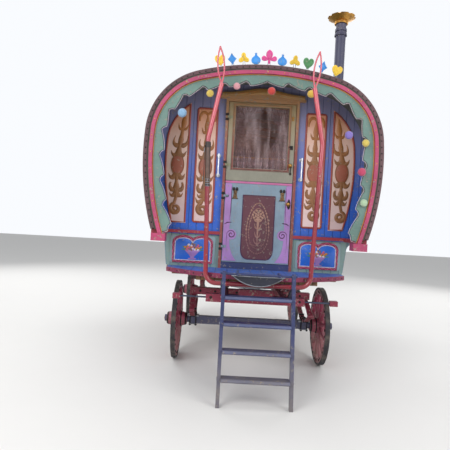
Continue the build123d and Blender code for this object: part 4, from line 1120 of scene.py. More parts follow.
def band_outline(side):
    edge = side * (LEAF_HIGH.x - 0.004)
    inner = -0.290 if side < 0 else 0.297
    top, foot = LEAF_HIGH.z - 0.028, LEAF_LOW.z + 0.012
    waist = curve((inner, 1.70), (inner, 1.62), (inner + side * 0.012, 1.60), (inner, 1.565), 8)
    swept = (inner - side * 0.015, 1.31), (inner - side * 0.085, foot)
    sweep = curve((inner, 1.47), (inner, 1.40), *swept, 12)
    return [(edge, top), (inner + side * 0.012, top), (inner, top - 0.02), *waist, *sweep, (edge, foot)]


def oval_bouquet(shape, place, x, z, wide, tall):
    """The oval of buds, the column, its flowers, and the leaves and berries beside it."""
    for grow, bud in ((1.0, 0.0095), (0.78, 0.0060)):
        line = []
        for turn in turns(BUDS):
            squeeze = 1.0 - 0.16 * sin(turn)
            line.append((x + wide * grow * squeeze * cos(turn), z + tall * (grow + 0.06) * sin(turn)))
        for number, (a, b) in enumerate(line):
            (c, d), size = line[(number + 1) % BUDS], bud * (1.0 + 0.35 * sin(number * 2.1))
            bud_line = [(a, b), ((a + c) / 2, (b + d) / 2), (c, d)]
            shape.stroke(place, bud_line, [0.001, size, 0.001], size * 0.75)
    head, foot = z + tall * 0.50, z - tall * 0.72
    column = [(x, head), (x, z), (x, foot + 0.03), (x, foot)]
    shape.stroke(place, column, [0.016, 0.011, 0.006, 0.014], 0.005)
    for reach, count, shift in ((0.0, 1, 0.0), (0.026, 6, 0.5), (0.050, 10, 0.0)):
        for number in range(count):
            turn = tau * (number + shift) / count
            spot = place(x + reach * 1.15 * cos(turn), head + 0.015 + reach * sin(turn), 0.0015)
            shape.ball(spot, (0.0135, 0.0055, 0.0125), 6, 10)
    for side in (-1, 1):
        for height, reach in ((0.40, 0.050), (0.10, 0.036), (-0.25, 0.030), (-0.52, 0.040)):
            base, tip = z + tall * height, x + side * reach
            leaf = curve((x, base - 0.03), (x + side * reach * 0.3, base - 0.035), (tip, base - 0.02),
                         (tip, base + 0.03), 8)
            shape.stroke(place, leaf, [0.004, 0.0075, 0.002], 0.005)
        for number in range(5):
            spot = place(x + side * (0.016 + 0.014 * number), foot - 0.004 + 0.005 * number, 0.001)
            shape.ball(spot, (0.006, 0.005, 0.006), 6, 8)


def cast_figure(dark, bright, place, x, z):
    """A cast ornament: a flared foot and a waist in brass, under two dark ears."""
    half = [(0.029, -0.064), (0.024, -0.046), (0.016, -0.014), (0.021, 0.012), (0.016, 0.030)]
    body = [(x + w, z + h) for w, h in half] + [(x - w, z + h) for w, h in reversed(half)]
    bright.plate(place, body, 0.009, 0.003)
    for height, reach in ((-0.030, 0.011), (0.006, 0.013)):
        bright.ball(place(x, z + height, 0.008), (reach, 0.006, reach * 1.1), 8, 12)
    for side in (-1, 1):
        dark.ball(place(x + side * 0.017, z + 0.043, 0.003), (0.015, 0.009, 0.021), 10, 14)
        toe = [(x + side * 0.027, z - 0.064), (x + side * 0.030, z - 0.056)]
        dark.stroke(place, toe, [0.004, 0.004], 0.011)


bands, curls, rail = Shape(), Shape(), Shape()
for side, curl_x, curl_z, start in ((-1, -0.273, 1.522, 0.98), (1, 0.285, 1.536, 0.02)):
    bands.plate(on_leaf, band_outline(side), 0.004, 0.0012)
    bands.plate(on_leaf, oval(curl_x, curl_z, 0.056, 0.056, 28), 0.0045, 0.001)
    tail = [(curl_x + side * w, curl_z - h) for w, h in ((0.044, 0.21), (0.049, 0.11), (0.049, 0.05))]
    curl = tail + spiral((curl_x, curl_z), 0.048, pi * start, 1.6 * side, 44, 0.10)
    curls.stroke(on_leaf, curl, [0.002, 0.0066, 0.0086, 0.0076, 0.003], 0.0066)
    crook = [(0.026, curl_z + 0.15), (0.019, curl_z + 0.26), (0.019, LEAF_HIGH.z - 0.09),
             (0.016, LEAF_HIGH.z - 0.052)]
    crook = [(curl_x + side * w, z) for w, z in crook]
    curls.stroke(on_leaf, crook, [0.0014, 0.0042, 0.0042, 0.0014], 0.0058)
    flick = [(LEAF_HIGH.x - 0.01, 0.108), (0.322, 0.128), (0.276, 0.133)]
    flick = [(side * w, curl_z + h) for w, h in flick]
    curls.stroke(on_leaf, flick, [0.003, 0.0085, 0.003], 0.007)
rail_low = (-LEAF_HIGH.x, LEAF_FACE - 0.007, LEAF_HIGH.z - 0.024)
rail.block(rail_low, (LEAF_HIGH.x, LEAF_FACE, LEAF_HIGH.z - 0.002), 0.002)
bands.finish("door_bands", "door_lower", "door_grey_blue", "mauve")
curls.finish("door_curls", "door_lower", "door_grey_blue", "plum")
rail.finish("door_rail", "door_lower", "door_grey_blue", "rail_pink")


def inset_outline(grow=0.0):
    """The inset's edge: square corners above, and round ones below."""
    x0, x1, z0, z1 = INSET
    x0, x1, z0, z1 = x0 - grow, x1 + grow, z0 - grow, z1 + grow
    foot = (x1 - 0.03, z0 + 0.006), (x1 - 0.075, z0)
    right = curve((x1, z0 + 0.11), (x1 - 0.004, z0 + 0.035), *foot, 8)
    return [(x0, z1), (x1, z1), *right, *[(x0 + x1 - x, z) for x, z in reversed(right)]]


field, moulding, gilding, brasses, ears = Shape(), Shape(), Shape(), Shape(), Shape()
field.plate(on_leaf, inset_outline(), 0.003, 0.001)
moulding.bead(on_leaf, inset_outline(-0.004), 0.0055, 0.0075)
oval_bouquet(gilding, front(LEAF_FACE - 0.003), (INSET[0] + INSET[1]) / 2, 1.60, 0.122, 0.262)
for x in (-0.252, 0.262):
    cast_figure(ears, brasses, on_leaf, x, 1.975)
pull = oval(0.336, 1.880, 0.019, 0.056, 28)
ears.plate(on_leaf, pull, 0.005, 0.0015)
ears.bead(front(LEAF_FACE - 0.004), inset(pull, 0.004), 0.0028, 0.004)
ears.finish("door_cast_ears", "door_lower", "dark_iron", None, 60.0)
field.finish("door_inset", "door_lower", "door_grey_blue", "maroon")
moulding.finish("door_inset_moulding", "door_lower", "door_grey_blue", "plum")
gilding.finish("door_carving", "door_lower", "brass", "dusky")
brasses.finish("door_figures", "door_lower", "brass", "old_bronze", 60.0)
corners = [(side * 0.345, LEAF_FACE, z) for side in (-1, 1) for z in (1.25, 1.30, 2.05)]
fixings("door_lower_screws", "door_lower", "brass", DOME_HEAD, corners, (0, -1, 0))

# %% [markdown]
# ## Painted-over straps
# The hinge straps were painted with the door, and only the knob stayed bright. Both are in one node,
# so its finish changes at the middle of the leaf, along X.

# %% Door fittings
for leaf, colour in (("door_lower", "7d8b98"), ("door_upper", "87876c")):
    straps = Finish(leaf + "_straps")
    bright = straps.axis("X").step(0.0, 0.01)
    wear = straps.noise(46.0, 6.0, 0.7)
    brass = straps.mix(wear.step(0.45, 0.75), "b98a48", "5e4228")
    coat = straps.mix(wear.step(0.62, 0.68) * 0.8, colour, "6e5a3e")
    straps.set("Base Color", straps.mix(bright, coat, brass))
    straps.set("Metallic", bright * 0.9)
    straps.set("Roughness", wear * 0.3 + 0.3)
    straps.bump(wear, 0.0008)
    NODES[leaf + "_fittings"].data.materials.clear()
    NODES[leaf + "_fittings"].data.materials.append(straps.material)
    print("painted", leaf + "_fittings")

# %% [markdown]
# ## The upper door leaf
# The window has a moulded bead around it, lace inside and small fittings down the closing stile. The
# bead follows the window's own outline, read from the leaf.

# %% Upper door leaf
UPPER_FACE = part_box("door_upper")[0].y
STILE = 0.334
window_loop = min(front_loops("door_upper"), key=lambda loop: max(x for x, _ in loop))
on_upper = front(UPPER_FACE)
bead, latch, crest = Shape(), Shape(), Shape()
bead.bead(on_upper, inset(window_loop, -0.011), 0.010, 0.008)
bead.bead(on_upper, inset(window_loop, -0.024), 0.0035, 0.004)
bead.finish("window_bead", "door_upper", "frame_brown")
latch.stroke(on_upper, [(STILE, 2.20), (STILE, 2.25), (STILE, 2.31)], [0.0045, 0.0055, 0.0045], 0.010)
for z in (2.215, 2.29):
    latch.block((0.322, UPPER_FACE - 0.013, z - 0.006), (0.346, UPPER_FACE, z + 0.006), 0.002)
latch.plate(on_upper, box_outline(0.318, 0.350, 2.475, 2.52), 0.004, 0.001)
lever = curve((0.336, 2.505), (0.318, 2.515), (0.306, 2.505), (0.298, 2.49), 10)
latch.stroke(on_upper, lever, [0.006, 0.004], 0.014)
latch.finish("door_upper_latch", "door_upper", "dark_iron", None, 50.0)
for side in (-1, 1):
    horn = spiral((STILE + side * 0.009, 2.822), 0.009, pi / 2, side * 1.2, 18, 0.2)
    crest.stroke(on_upper, horn, [0.0035, 0.003, 0.002], 0.006)
crest.stroke(on_upper, [(STILE, 2.845), (STILE, 2.80)], [0.002, 0.005], 0.007)
crest.stroke(on_upper, [(0.320, 2.798), (STILE, 2.794), (0.348, 2.798)], [0.003, 0.004, 0.003], 0.006)
crest.finish("door_upper_crest", "door_upper", "brass", None, 50.0)

# %% [markdown]
# ## Lace behind the window
# A pair of lace curtains hangs inside the upper leaf, drawn back to the sides, with a strip of lace
# across the foot. Each is a flat cut gathered on a rod: every row of the grid is a wave, nearly as
# long as the cut is wide, so where the cloth is drawn together its folds get deeper.

# %% Lace curtains
WINDOW_LOW, WINDOW_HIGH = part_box("door_window")
CURTAIN_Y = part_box("door_upper")[1].y + 0.012
CURTAIN_COLUMNS = 120
CURTAIN_ROWS = 34
FOLDS = 9
FOLD_STEPS = 60
DRAWN_SHARE = 0.9
SHORT_OF_STILE = 0.002


def lace_finish(name, colour, cell):
    """Thread with holes in it: a net of small rings, denser in a repeated flower."""
    finish = Finish(name)
    flat = finish.node("UVMap", out="UV")
    net = finish.cells({"Vector": flat, "Scale": 1 / cell, "Randomness": 0.35})
    flower = finish.cells({"Vector": flat, "Scale": 1 / (cell * 9), "Randomness": 0.3}, "F1")
    dense = 1.0 - flower.step(0.25, 0.42)
    thread = 1.0 - net.step(0.07, 0.13)
    finish.set("Base Color", finish.mix(dense * 0.5, colour, tint(colour, 1.12)))
    finish.set("Roughness", dense * 0.1 + 0.75)
    finish.set("Alpha", (thread * 0.75 + dense * 0.6) * 0.9 + 0.12)
    finish.bump(thread, 0.0006)


def fold_depth(run, cut):
    """How deep waves must be for a line that covers run to be as long as cut."""
    low, high = 0.0, 0.08
    for _ in range(24):
        depth = (low + high) / 2
        middles = [FOLDS * (turn + pi / FOLD_STEPS) for turn in turns(FOLD_STEPS)]
        slopes = [depth * tau * FOLDS / run * cos(turn) for turn in middles]
        length = sum(run / FOLD_STEPS * hypot(1.0, slope) for slope in slopes)
        low, high = (depth, high) if length < cut else (low, depth)
    return low


def hung_lace(name, body, y, top, low, ends, cut):
    """A gathered cloth, with its left and right ends given for each share of the way down its rod."""
    corners, flat = [], []
    for share in spaced(0.0, 1.0, CURTAIN_ROWS):
        start, end = ends(share)
        depth = fold_depth(abs(end - start), cut[0] * DRAWN_SHARE)
        for part in spaced(0.0, 1.0, CURTAIN_COLUMNS):
            ruffle = 0.0025 * sin(part * 47.0) * share
            x = start + (end - start) * part
            z = top + (low - top) * share + 0.004 * sin(tau * FOLDS * part + 1.0) * share
            corners.append((x, y + depth * sin(tau * FOLDS * part) + ruffle, z))
            flat.append((part * cut[0], (1 - share) * cut[1]))
    mesh = cloth_mesh(name, corners, flat, CURTAIN_COLUMNS + 1)
    cloth = show(name, mesh, body, "canvas", "lace", 80.0)


def pair_of_curtains(name, body, y, top, low, wide, outer, middle):
    """Two curtains from a rod: outer is where they end by the frame, middle(share) by the middle."""
    for side_name, side in SIDES:
        def ends(share, side=side):
            edges = side * outer, side * middle(share)
            return edges if side < 0 else edges[::-1]

        hung_lace(name + side_name, body, y, top, low, ends, (wide, top - low + 0.01))


def drawn_back(share):
    """The hem by the middle is drawn back towards the stile, most of all two thirds of the way down."""
    return 0.030 + (0.135 * sin(pi * min(share * 1.35, 1.0)) ** 1.3 + 0.05 * share)


lace_finish("lace", "b9a0ac", 0.0075)
curtain_top, curtain_low = WINDOW_HIGH.z - 0.004, WINDOW_LOW.z - 0.02
pair_of_curtains("curtain_", "door_upper", CURTAIN_Y, curtain_top, curtain_low, 0.62,
                 WINDOW_HIGH.x - SHORT_OF_STILE, drawn_back)
hung_lace("curtain_strip", "door_upper", CURTAIN_Y - 0.006, WINDOW_LOW.z + 0.125, curtain_low,
          lambda share: (WINDOW_LOW.x + SHORT_OF_STILE, WINDOW_HIGH.x - SHORT_OF_STILE), (1.05, 0.15))
rods = Shape()
for z, y in ((curtain_top, CURTAIN_Y), (WINDOW_LOW.z + 0.122, CURTAIN_Y - 0.006)):
    rods.tube([(WINDOW_LOW.x - 0.012, y, z), (WINDOW_HIGH.x + 0.012, y, z)], 0.004, 10)
    for side in (-1, 1):
        x = side * (WINDOW_HIGH.x + 0.012)
        rods.block((x - 0.006, CURTAIN_Y - 0.0125, z - 0.01), (x + 0.006, y + 0.006, z + 0.01), 0.002)
rods.finish("curtain_rod", "door_upper", "brass", None, 50.0)

# %% [markdown]
# ## The lintel and the fascia
# A carved board crowns the doorway. Round the front opening the pink moulding has a fine orange line
# inside it, and the waved boards have a painted line that follows their edge.

# %% Lintel and fascia trim
FRAME_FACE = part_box("door_frame")[0].y
FASCIA_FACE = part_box("fascia_boards")[0].y
WAVE_STEPS = 420
WAVE_INSET = 0.011
EDGE_LINE_HIGH = 0.0022
on_frame = front(FRAME_FACE)
lintel, lintel_lines = Shape(), Shape()
crest = curve((0.45, 3.062), (0.20, 3.066), (0.14, 3.122), (0.0, 3.118), 20)
foot = curve((0.45, 3.020), (0.22, 3.022), (0.14, 3.052), (0.0, 3.054), 20)
outline = crest + [(-x, z) for x, z in crest[-2::-1]] + [(-x, z) for x, z in foot] + foot[::-1][1:]
lintel.plate(on_frame, outline[::-1], 0.016, 0.005)
lintel.finish("lintel_board", "wagon", "frame_brown", "ochre", 50.0)
for side in (-1, 1):
    for steps, high, widths, *line in (
        (24, 0.021, [0.004, 0.009, 0.006, 0.003], (0, 3.092), (0.14, 3.094), (0.20, 3.04), (0.42, 3.04)),
        (12, 0.020, [0.002, 0.006, 0.002], (0.03, 3.072), (0.09, 3.076), (0.13, 3.05), (0.20, 3.04)),
    ):
        sweep = curve(*[(side * x, z) for x, z in line], steps)
        lintel_lines.stroke(on_frame, sweep, widths, high)
lintel_lines.finish("lintel_carving", "wagon", "frame_brown", "scroll_brown", 50.0)

moulding_inner = run_between_feet(max(front_loops("fascia_moulding"), key=len), outer=False)
wave_line = run_between_feet(max(front_loops("fascia_boards"), key=len), outer=False)
print("moulding:", len(moulding_inner), "points; waves:", len(wave_line), "points")

lines, edging = Shape(), Shape()
lines.stroke(front(FASCIA_FACE), pushed(moulding_inner, 160, -0.004), [0.0042] * 2, 0.006)
edge_line = pushed(wave_line, WAVE_STEPS, WAVE_INSET)
edging.stroke(front(FASCIA_FACE), edge_line, [0.0019] * 2, EDGE_LINE_HIGH)
lines.finish("fascia_orange_line", "wagon", "moulding_pink", "amber")
edging.finish("fascia_edge_line", "wagon", "fascia_sage", "shell_white")
screw_points, _ = resample(pushed(moulding_inner, 120, 0.018), 60)
moulding_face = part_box("fascia_moulding")[0].y
screws = [(x, moulding_face, z) for x, z in screw_points[2:-2:2]]
fixings("moulding_screws", "wagon", "brass", DOME_HEAD, screws, (0, -1, 0))

# %% [markdown]
# ## Ornaments on the arch
# A row of ten cut-outs stands on the front edge of the roof, each on a pair of pins. They are hearts,
# lozenges, drops and flowers, in fairground colours. A shape is drawn once, one unit high, and is
# turned to stand square to the arch where it sits.

# %% Arch ornaments
def trefoil():
    outline = []
    for place in turns(60):
        turn = place - pi / 2
        reach = 0.36 + 0.13 * cos(3 * (turn - pi / 2))
        outline.append((reach * cos(turn), 0.52 + reach * sin(turn)))
    return outline


ORNAMENTS = {
    "trefoil": trefoil(),
    "heart": both_sides(chained(
        (0, 0.02), ((0.18, 0.24), (0.46, 0.42), (0.44, 0.70), 10),
        ((0.43, 1.0), (0.06, 1.06), (0, 0.76), 10),
    )),
    "lozenge": both_sides(chained(
        (0, 0), ((0.10, 0.22), (0.20, 0.34), (0.36, 0.5), 8), ((0.20, 0.66), (0.10, 0.78), (0, 1), 8),
    )),
    "drop": both_sides(chained(
        (0, 0), ((0.42, 0.0), (0.50, 0.42), (0.20, 0.62), 12), ((0.06, 0.72), (0.04, 0.85), (0, 1), 6),
    )),
    "fleuron": both_sides(chained(
        (0, 0), ((0.08, 0.10), (0.10, 0.20), (0.08, 0.30), 6),
        ((0.50, 0.10), (0.62, 0.42), (0.42, 0.56), 10),
        ((0.30, 0.62), (0.24, 0.50), (0.16, 0.46), 8),
        ((0.30, 0.70), (0.22, 0.88), (0, 1.0), 10),
    )),
}
ARCH_ROW = (
    # place along the arch, height, outline, colour
    (-0.470, 0.118, "heart", "sun_yellow"),
    (-0.352, 0.122, "lozenge", "sky_blue"),
    (-0.240, 0.118, "trefoil", "sun_yellow"),
    (-0.122, 0.122, "drop", "sky_blue"),
    (0.006, 0.150, "fleuron", "fair_pink"),
    (0.134, 0.122, "drop", "sky_blue"),
    (0.258, 0.118, "trefoil", "sun_yellow"),
    (0.386, 0.120, "heart", "leaf_green"),
    (0.528, 0.122, "lozenge", "sky_blue"),
    (0.664, 0.118, "heart", "sun_yellow"),
)
ORNAMENT_Y = ROOF_LOW.y + 0.010
ORNAMENT_THICK = 0.010
ORNAMENT_FOOT = CANVAS_CLEAR + 0.010
ARCH_TOP = [point for point in zip(*resample(ARCH, 900)) if point[0][1] > 2.9]


def standing_at(across):
    """Drawing on a plane that stands square to the arch, at a place along it."""
    (x, z), (nx, nz) = min(ARCH_TOP, key=lambda point: abs(point[0][0] - across))

    def place(a, b, out):
        b += ORNAMENT_FOOT
        return x + nz * a + nx * b, ORNAMENT_Y - out, z - nx * a + nz * b

    return place


ornaments = {row[3]: Shape() for row in ARCH_ROW}
pins = Shape()
for across, tall, kind, colour in ARCH_ROW:
    place = standing_at(across)
    edge = [(u * tall, v * tall) for u, v in ORNAMENTS[kind]]
    ornaments[colour].plate(place, edge, ORNAMENT_THICK, 0.0025)
    ornaments[colour].bead(place, inset(edge, 0.014), 0.0028, ORNAMENT_THICK + 0.003)
    for lean in (-0.06 * tall, 0.06 * tall):
        pins.tube([place(lean * 2, -0.30 * tall, 0.005), place(lean, 0.30 * tall, 0.005)], 0.0026)
for colour, shape in sorted(ornaments.items()):
    shape.finish("arch_ornaments_" + colour, "wagon", "moulding_pink", colour, 45.0)
pins.finish("arch_ornament_pins", "wagon", "steel", None, 50.0)

# %% [markdown]
# ## Wool balls
# Balls of wound wool are pinned along the waved edge, each in its own colour. A ball is a sphere of
# turns of yarn, so its surface is ridged by three crossing sets of threads, made as a real offset of
# its corners. A short brass eye pulls it flat against the board, clear of the shafts as they turn.

# %% Wool balls
PULLED_FLAT = 0.72
FLATTEST = 0.45
BALLS = (
    # across, up, radius, colour, flatness; the second hangs by the shaft, and is pulled flattest
    (-0.827, 2.705, 0.044, "8fb8dc", PULLED_FLAT),
    (-0.563, 2.916, 0.036, "e0c460", FLATTEST),
    (-0.302, 2.999, 0.034, "e0a0a8", PULLED_FLAT),
    (0.044, 2.969, 0.038, "c84038", PULLED_FLAT),
    (0.438, 2.961, 0.038, "e2bc50", PULLED_FLAT),
    (0.832, 2.574, 0.040, "8a78c8", PULLED_FLAT),
    (1.003, 2.505, 0.036, "dfc864", PULLED_FLAT),
    (0.979, 2.217, 0.040, "c8486c", PULLED_FLAT),
    (1.016, 1.912, 0.036, "b8d4b0", PULLED_FLAT),
)
BALL_ROWS, BALL_COLUMNS = 26, 44


def wool(name, colour):
    finish = Finish(name)
    fuzz = finish.noise(260.0, 4.0, 0.7)
    yarn = finish.noise(60.0, 2.0, 0.5)
    amount = fuzz.step(0.3, 0.7) * 0.6 + yarn * 0.3
    finish.set("Base Color", finish.mix(amount, tint(colour, 0.62), tint(colour, 1.1)))
    finish.set("Roughness", fuzz * 0.1 + 0.85)
    finish.bump(fuzz, 0.0016)
    finish.shader.inputs["Sheen Weight"].default_value = 0.5


def wool_ball(shape, centre, radius, flat, turn):
    """A sphere whose surface rises and falls with threads wound three ways round it."""
    ways, rings = [], []
    for number in range(3):
        way = (cos(turn + number), sin(turn * 1.7 + number * 2.0), cos(turn * 0.6 + number * 3.1))
        ways.append(Vector(way).normalized())
    for share in spaced(0.0, 1.0, BALL_ROWS):
        lean = pi * min(max(share, 0.012), 0.988)
        ring = []
        for side in turns(BALL_COLUMNS):
            out = Vector((sin(lean) * cos(side), sin(lean) * sin(side), cos(lean)))
            ridge = max(sin(34.0 * way.dot(out)) * (1.0 - abs(way.dot(out))) for way in ways)
            pressed = Vector((out.x, out.y * flat, out.z))
            ring.append(Vector(centre) + pressed * radius * (1.0 + 0.035 * ridge))
        rings.append(ring)
    shape.rings(rings)


eyes = Shape()
for number, (x, z, radius, colour, flat) in enumerate(BALLS):
    ball = Shape()
    y = FASCIA_FACE - radius * flat * 0.96
    wool_ball(ball, (x, y, z), radius, flat, number * 1.3)
    wool("wool_" + colour, colour)
    ball.finish("wool_ball_%d" % number, "wagon", "fascia_sage", "wool_" + colour, 80.0)
    eyes.tube([(x, y, z + radius * 0.6), (x, FASCIA_FACE + 0.002, z + radius * 0.7)], 0.0022)
eyes.finish("wool_ball_pins", "wagon", "brass", None, 50.0)

# %% [markdown]
# ## Ironwork on the wheels
# A turned hub would split without its iron bands, and the felloes are held by a bolt on each side of
# every joint. The bands follow the belly of the hub, so their radius comes from its arc. The bolts go
# round in a ring of points, and ride on the wheel.

# %% Wheel ironwork
HUB_LENGTH = 0.240
HUB_MIDDLE = 0.092
HUB_END = 0.064
FELLOE_HALF = 0.023
FELLOE_DEPTH = 0.058
BANDS = ((-0.118, 0.020), (-0.058, 0.014), (0.044, 0.014), (0.098, 0.020))
SPOKE_COUNTS = {"front": 12, "rear": 14}
CAP_PROFILE = (
    (0.0, 0.036), (0.010, 0.036), (0.013, 0.033), (0.024, 0.031), (0.031, 0.022), (0.034, 0.008),
)


def hub_radius(along):
    """The radius of the hub's belly, which is an arc through its middle and its ends."""
    rise = HUB_MIDDLE - HUB_END
    arc = ((HUB_LENGTH / 2) ** 2 + rise**2) / (2 * rise)
    return HUB_MIDDLE - (arc - (arc**2 - along**2) ** 0.5)


def about_axle(centre):
    """Turning about an axis along X: the turn, the radius, and how far along the axis."""
    x, y, z = centre
    return lambda turn, reach, along: (x + along, y + reach * cos(turn), z + reach * sin(turn))


def hoop(shape, centre, start, end, inner, outer, sides=48):
    """A flat ring about the axle, with its outer corners eased."""
    ease = min(0.002, (outer[0] - inner) / 3)
    profile = (
        (inner, start), (outer[0] - ease, start), (outer[0], start + ease),
        (outer[1], end - ease), (outer[1] - ease, end), (inner, end),
    )
    shape.turned(about_axle(centre), profile, sides)


def wheel_ironwork(end, side_name, side, carrier):
    node = "wheel_%s_%s" % (end, side_name)
    low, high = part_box(node)
    centre = middle_of(low, high)
    spot = about_axle(centre)
    bands = Shape()
    for start, wide in BANDS:
        near, far = hub_radius(start), hub_radius(start + wide)
        hoop(bands, centre, start, start + wide, min(near, far) - 0.004, (near + 0.004, far + 0.004))
    for face in (-1, 1):
        along = face * HUB_LENGTH / 2
        hoop(bands, centre, along - 0.0025, along + 0.0005, 0.029, (0.046, 0.046), 36)
    bands.finish(node + "_bands", node, "dark_iron", None, 35.0)
    bolts, reach = [], (high.z - low.z - FELLOE_DEPTH) / 2
    for turn in turns(SPOKE_COUNTS[end]):
        for bolt in (turn - 0.085, turn + 0.085):
            bolts += [(spot(bolt, reach, face * FELLOE_HALF), (face, 0, 0)) for face in (-1, 1)]
    fixings(node + "_bolts", node, "dark_iron", COACH_BOLT, bolts, spread=0.08)
    cap, rings = Shape(), []
    for number, (out, reach) in enumerate(CAP_PROFILE):
        ring = []
        for turn in turns(24):
            hexed = reach / cos(turn % (tau / 6) - pi / 6) * cos(pi / 6) if number < 2 else reach * 0.88
            ring.append(spot(turn, hexed, side * (HUB_LENGTH / 2 + 0.001 + out)))
        rings.append(ring)
    cap.rings(rings)
    cap.finish(node + "_cap", carrier, "brass", None, 35.0)


for end, carrier in (("front", "forecarriage"), ("rear", "wagon")):
    for side_name, side in SIDES:
        wheel_ironwork(end, side_name, side, carrier)

# %% [markdown]
# ## Spring clips and axle bolts
# Two U-bolts hold each spring to its axle, and a pair of clips keeps the leaves in line. A U-bolt is
# one rod bent over the spring and down past the beam, with a plate and a nut on each leg.

# %% Springs and axles
LEAF_PACK = 0.036
U_ROD = 0.0065
CLIP_REACH = 0.15
CLIP_HIGH = 0.047
SPRING_WIDTH = 0.055
BEND_STEPS = 10


def spring_fixings(end, body):
    low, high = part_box(end + "_springs")
    axle_low, axle_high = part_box(end + "_axle")
    middle = (low.y + high.y) / 2
    rods, clips, plates, nuts = Shape(), Shape(), Shape(), []
    half = SPRING_WIDTH / 2
    reach = half + U_ROD + 0.001
    top, foot = axle_high.z + LEAF_PACK + U_ROD, axle_low.z - 0.022
    for side in (-1, 1):
        x = side * (high.x - half)
        for away in (-1, 1):
            y = middle + away * ((axle_high.y - axle_low.y) / 2 + U_ROD + 0.001)
            arch = [(x - reach, y, foot)]
            for turn in spaced(0.0, pi, BEND_STEPS):
                arch.append((x - reach * cos(turn), y, top - 0.012 + 0.012 * sin(turn)))
            rods.tube(arch + [(x + reach, y, foot)], U_ROD, 10)
            nuts += [(x + leg * reach, y, axle_low.z - 0.006) for leg in (-1, 1)]
            y, base = middle + away * CLIP_REACH, axle_high.z + 0.016
            clip_low = (x - half - 0.004, y - 0.012, base)
            clips.block(clip_low, (x + half + 0.004, y + 0.012, base + CLIP_HIGH), 0.002)
        inner, outer = sorted((x - side * 0.070, x + side * 0.068))
        seat_low = (inner, axle_low.y - 0.010, axle_high.z - 0.006)
        plates.block(seat_low, (outer, axle_high.y + 0.010, axle_high.z + 0.011), 0.002)
        foot_low = (x - half - 0.018, axle_low.y - 0.016, axle_low.z - 0.006)
        plates.block(foot_low, (x + half + 0.018, axle_high.y + 0.016, axle_low.z - 0.0004), 0.0015)
    rods.finish(end + "_u_bolts", body, "dark_iron", None, 50.0)
    clips.finish(end + "_spring_clips", body, "dark_iron", None, 50.0)
    plates.finish(end + "_axle_plates", body, "steel", None, 50.0)
    fixings(end + "_u_bolt_nuts", body, "dark_iron", BOLT, nuts, (0, 0, -1), spread=0.03)


spring_fixings("front", "forecarriage")
spring_fixings("rear", "wagon")

# %% [markdown]
# ## Bolts through the beams
# The beams under the wagon are held by coach bolts. Their places are worked out from the beams, a
# short row to each, and all the bolts of one body are one run of the same tree.

# %% Beam bolts
BOLSTER_ROW = (0.16, 0.42, 0.60)
BAR_ROW = (0.22, 0.30, 0.45)
TONGUE_ROW = (-1.48, -1.40, -1.02, -0.55)
SILL_BOLTS = 9
SILL_END = 0.10
RING_REACH = 0.32
bolts = {"wagon": [], "forecarriage": []}
fore_low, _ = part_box("fore_bolster")
top_low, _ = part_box("top_bolsters")
bar_low, bar_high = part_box("splinter_bar")
sill_low, sill_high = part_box("chassis_sills")
tongue_low, tongue_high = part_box("futchells")
for body, y, z, row in (
    ("forecarriage", fore_low.y, fore_low.z + 0.045, BOLSTER_ROW),
    ("wagon", top_low.y, 0.985, BOLSTER_ROW),
    ("forecarriage", bar_low.y + 0.0005, bar_high.z - 0.095, BAR_ROW),
):
    bolts[body] += [((side * x, y, z), (0, -1, 0)) for side in (-1, 1) for x in row]
sill_row = spaced(sill_low.y + SILL_END, sill_high.y - SILL_END, SILL_BOLTS - 1)
tongue_z = (tongue_low.z + tongue_high.z) / 2
for body, x, z, row in (
    ("wagon", sill_high.x, 1.03, sill_row),
    ("forecarriage", tongue_high.x, tongue_z, TONGUE_ROW),
):
    bolts[body] += [((side * x, y, z), (side, 0, 0)) for side in (-1, 1) for y in row]
KINGPIN_Y = middle_of(*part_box("turntable_lower"))[1]
ring_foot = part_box("turntable_lower")[0].z
for x, y in oval(0.0, KINGPIN_Y, RING_REACH, RING_REACH, 24)[1::2]:
    bolts["forecarriage"].append(((x, y, ring_foot), (0, 0, -1)))
for body, rows in bolts.items():
    fixings(body + "_beam_bolts", body, "dark_iron", COACH_BOLT, rows)

# %% [markdown]
# ## The ladder's treads
# Each tread has a nosing along its front edge, painted a paler navy that is partly wear and partly a
# painted highlight, and a pair of bolts into each rail. The ladder leans, so every place is measured
# from the tread itself.

# %% Ladder fittings
NOSING = (
    (-0.0022, 0.0018), (0.022, 0.0018), (0.022, 0.0002), (0.0, 0.0), (0.0, -0.020), (-0.0022, -0.020),
)
BOLT_DOWN = 0.014
nosings, bolts = Shape(), []
rail_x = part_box("ladder_rails")[1].x
treads = [corner.co for corner in NODES["ladder_treads"].data.vertices]
for top in sorted({round(corner.z, 3) for corner in treads})[1::2]:
    corners = [corner for corner in treads if abs(corner.z - top) < 0.002]
    front_y, back_y = min(c.y for c in corners), max(c.y for c in corners)
    half = max(c.x for c in corners) - 0.004
    nosings.rings([[(x, front_y + d, top + h) for d, h in NOSING] for x in (-half, half)])
    for side in (-1, 1):
        for share in (0.3, 0.7):
            y = front_y + (back_y - front_y) * share
            bolts.append(((side * rail_x, y, top - BOLT_DOWN), (side, 0, 0)))
nosings.finish("ladder_nosings", "ladder", "navy_paint", "worn_highlit_navy", 30.0)
fixings("ladder_bolts", "ladder", "steel", DOME_HEAD, bolts)

# %% [markdown]
# ## Fittings on the shafts and the porch
# The leather collar on the left shaft closes with two small steel buckles. The apron has a bright rim
# along its top and its foot, the porch edge is nailed, and the handles beside the door stand on round
# roses.

# %% Shaft and porch fittings
STRAP_LOW, STRAP_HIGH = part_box("shaft_strap")
STRAP_MIDDLE = (STRAP_LOW.y + STRAP_HIGH.y) / 2


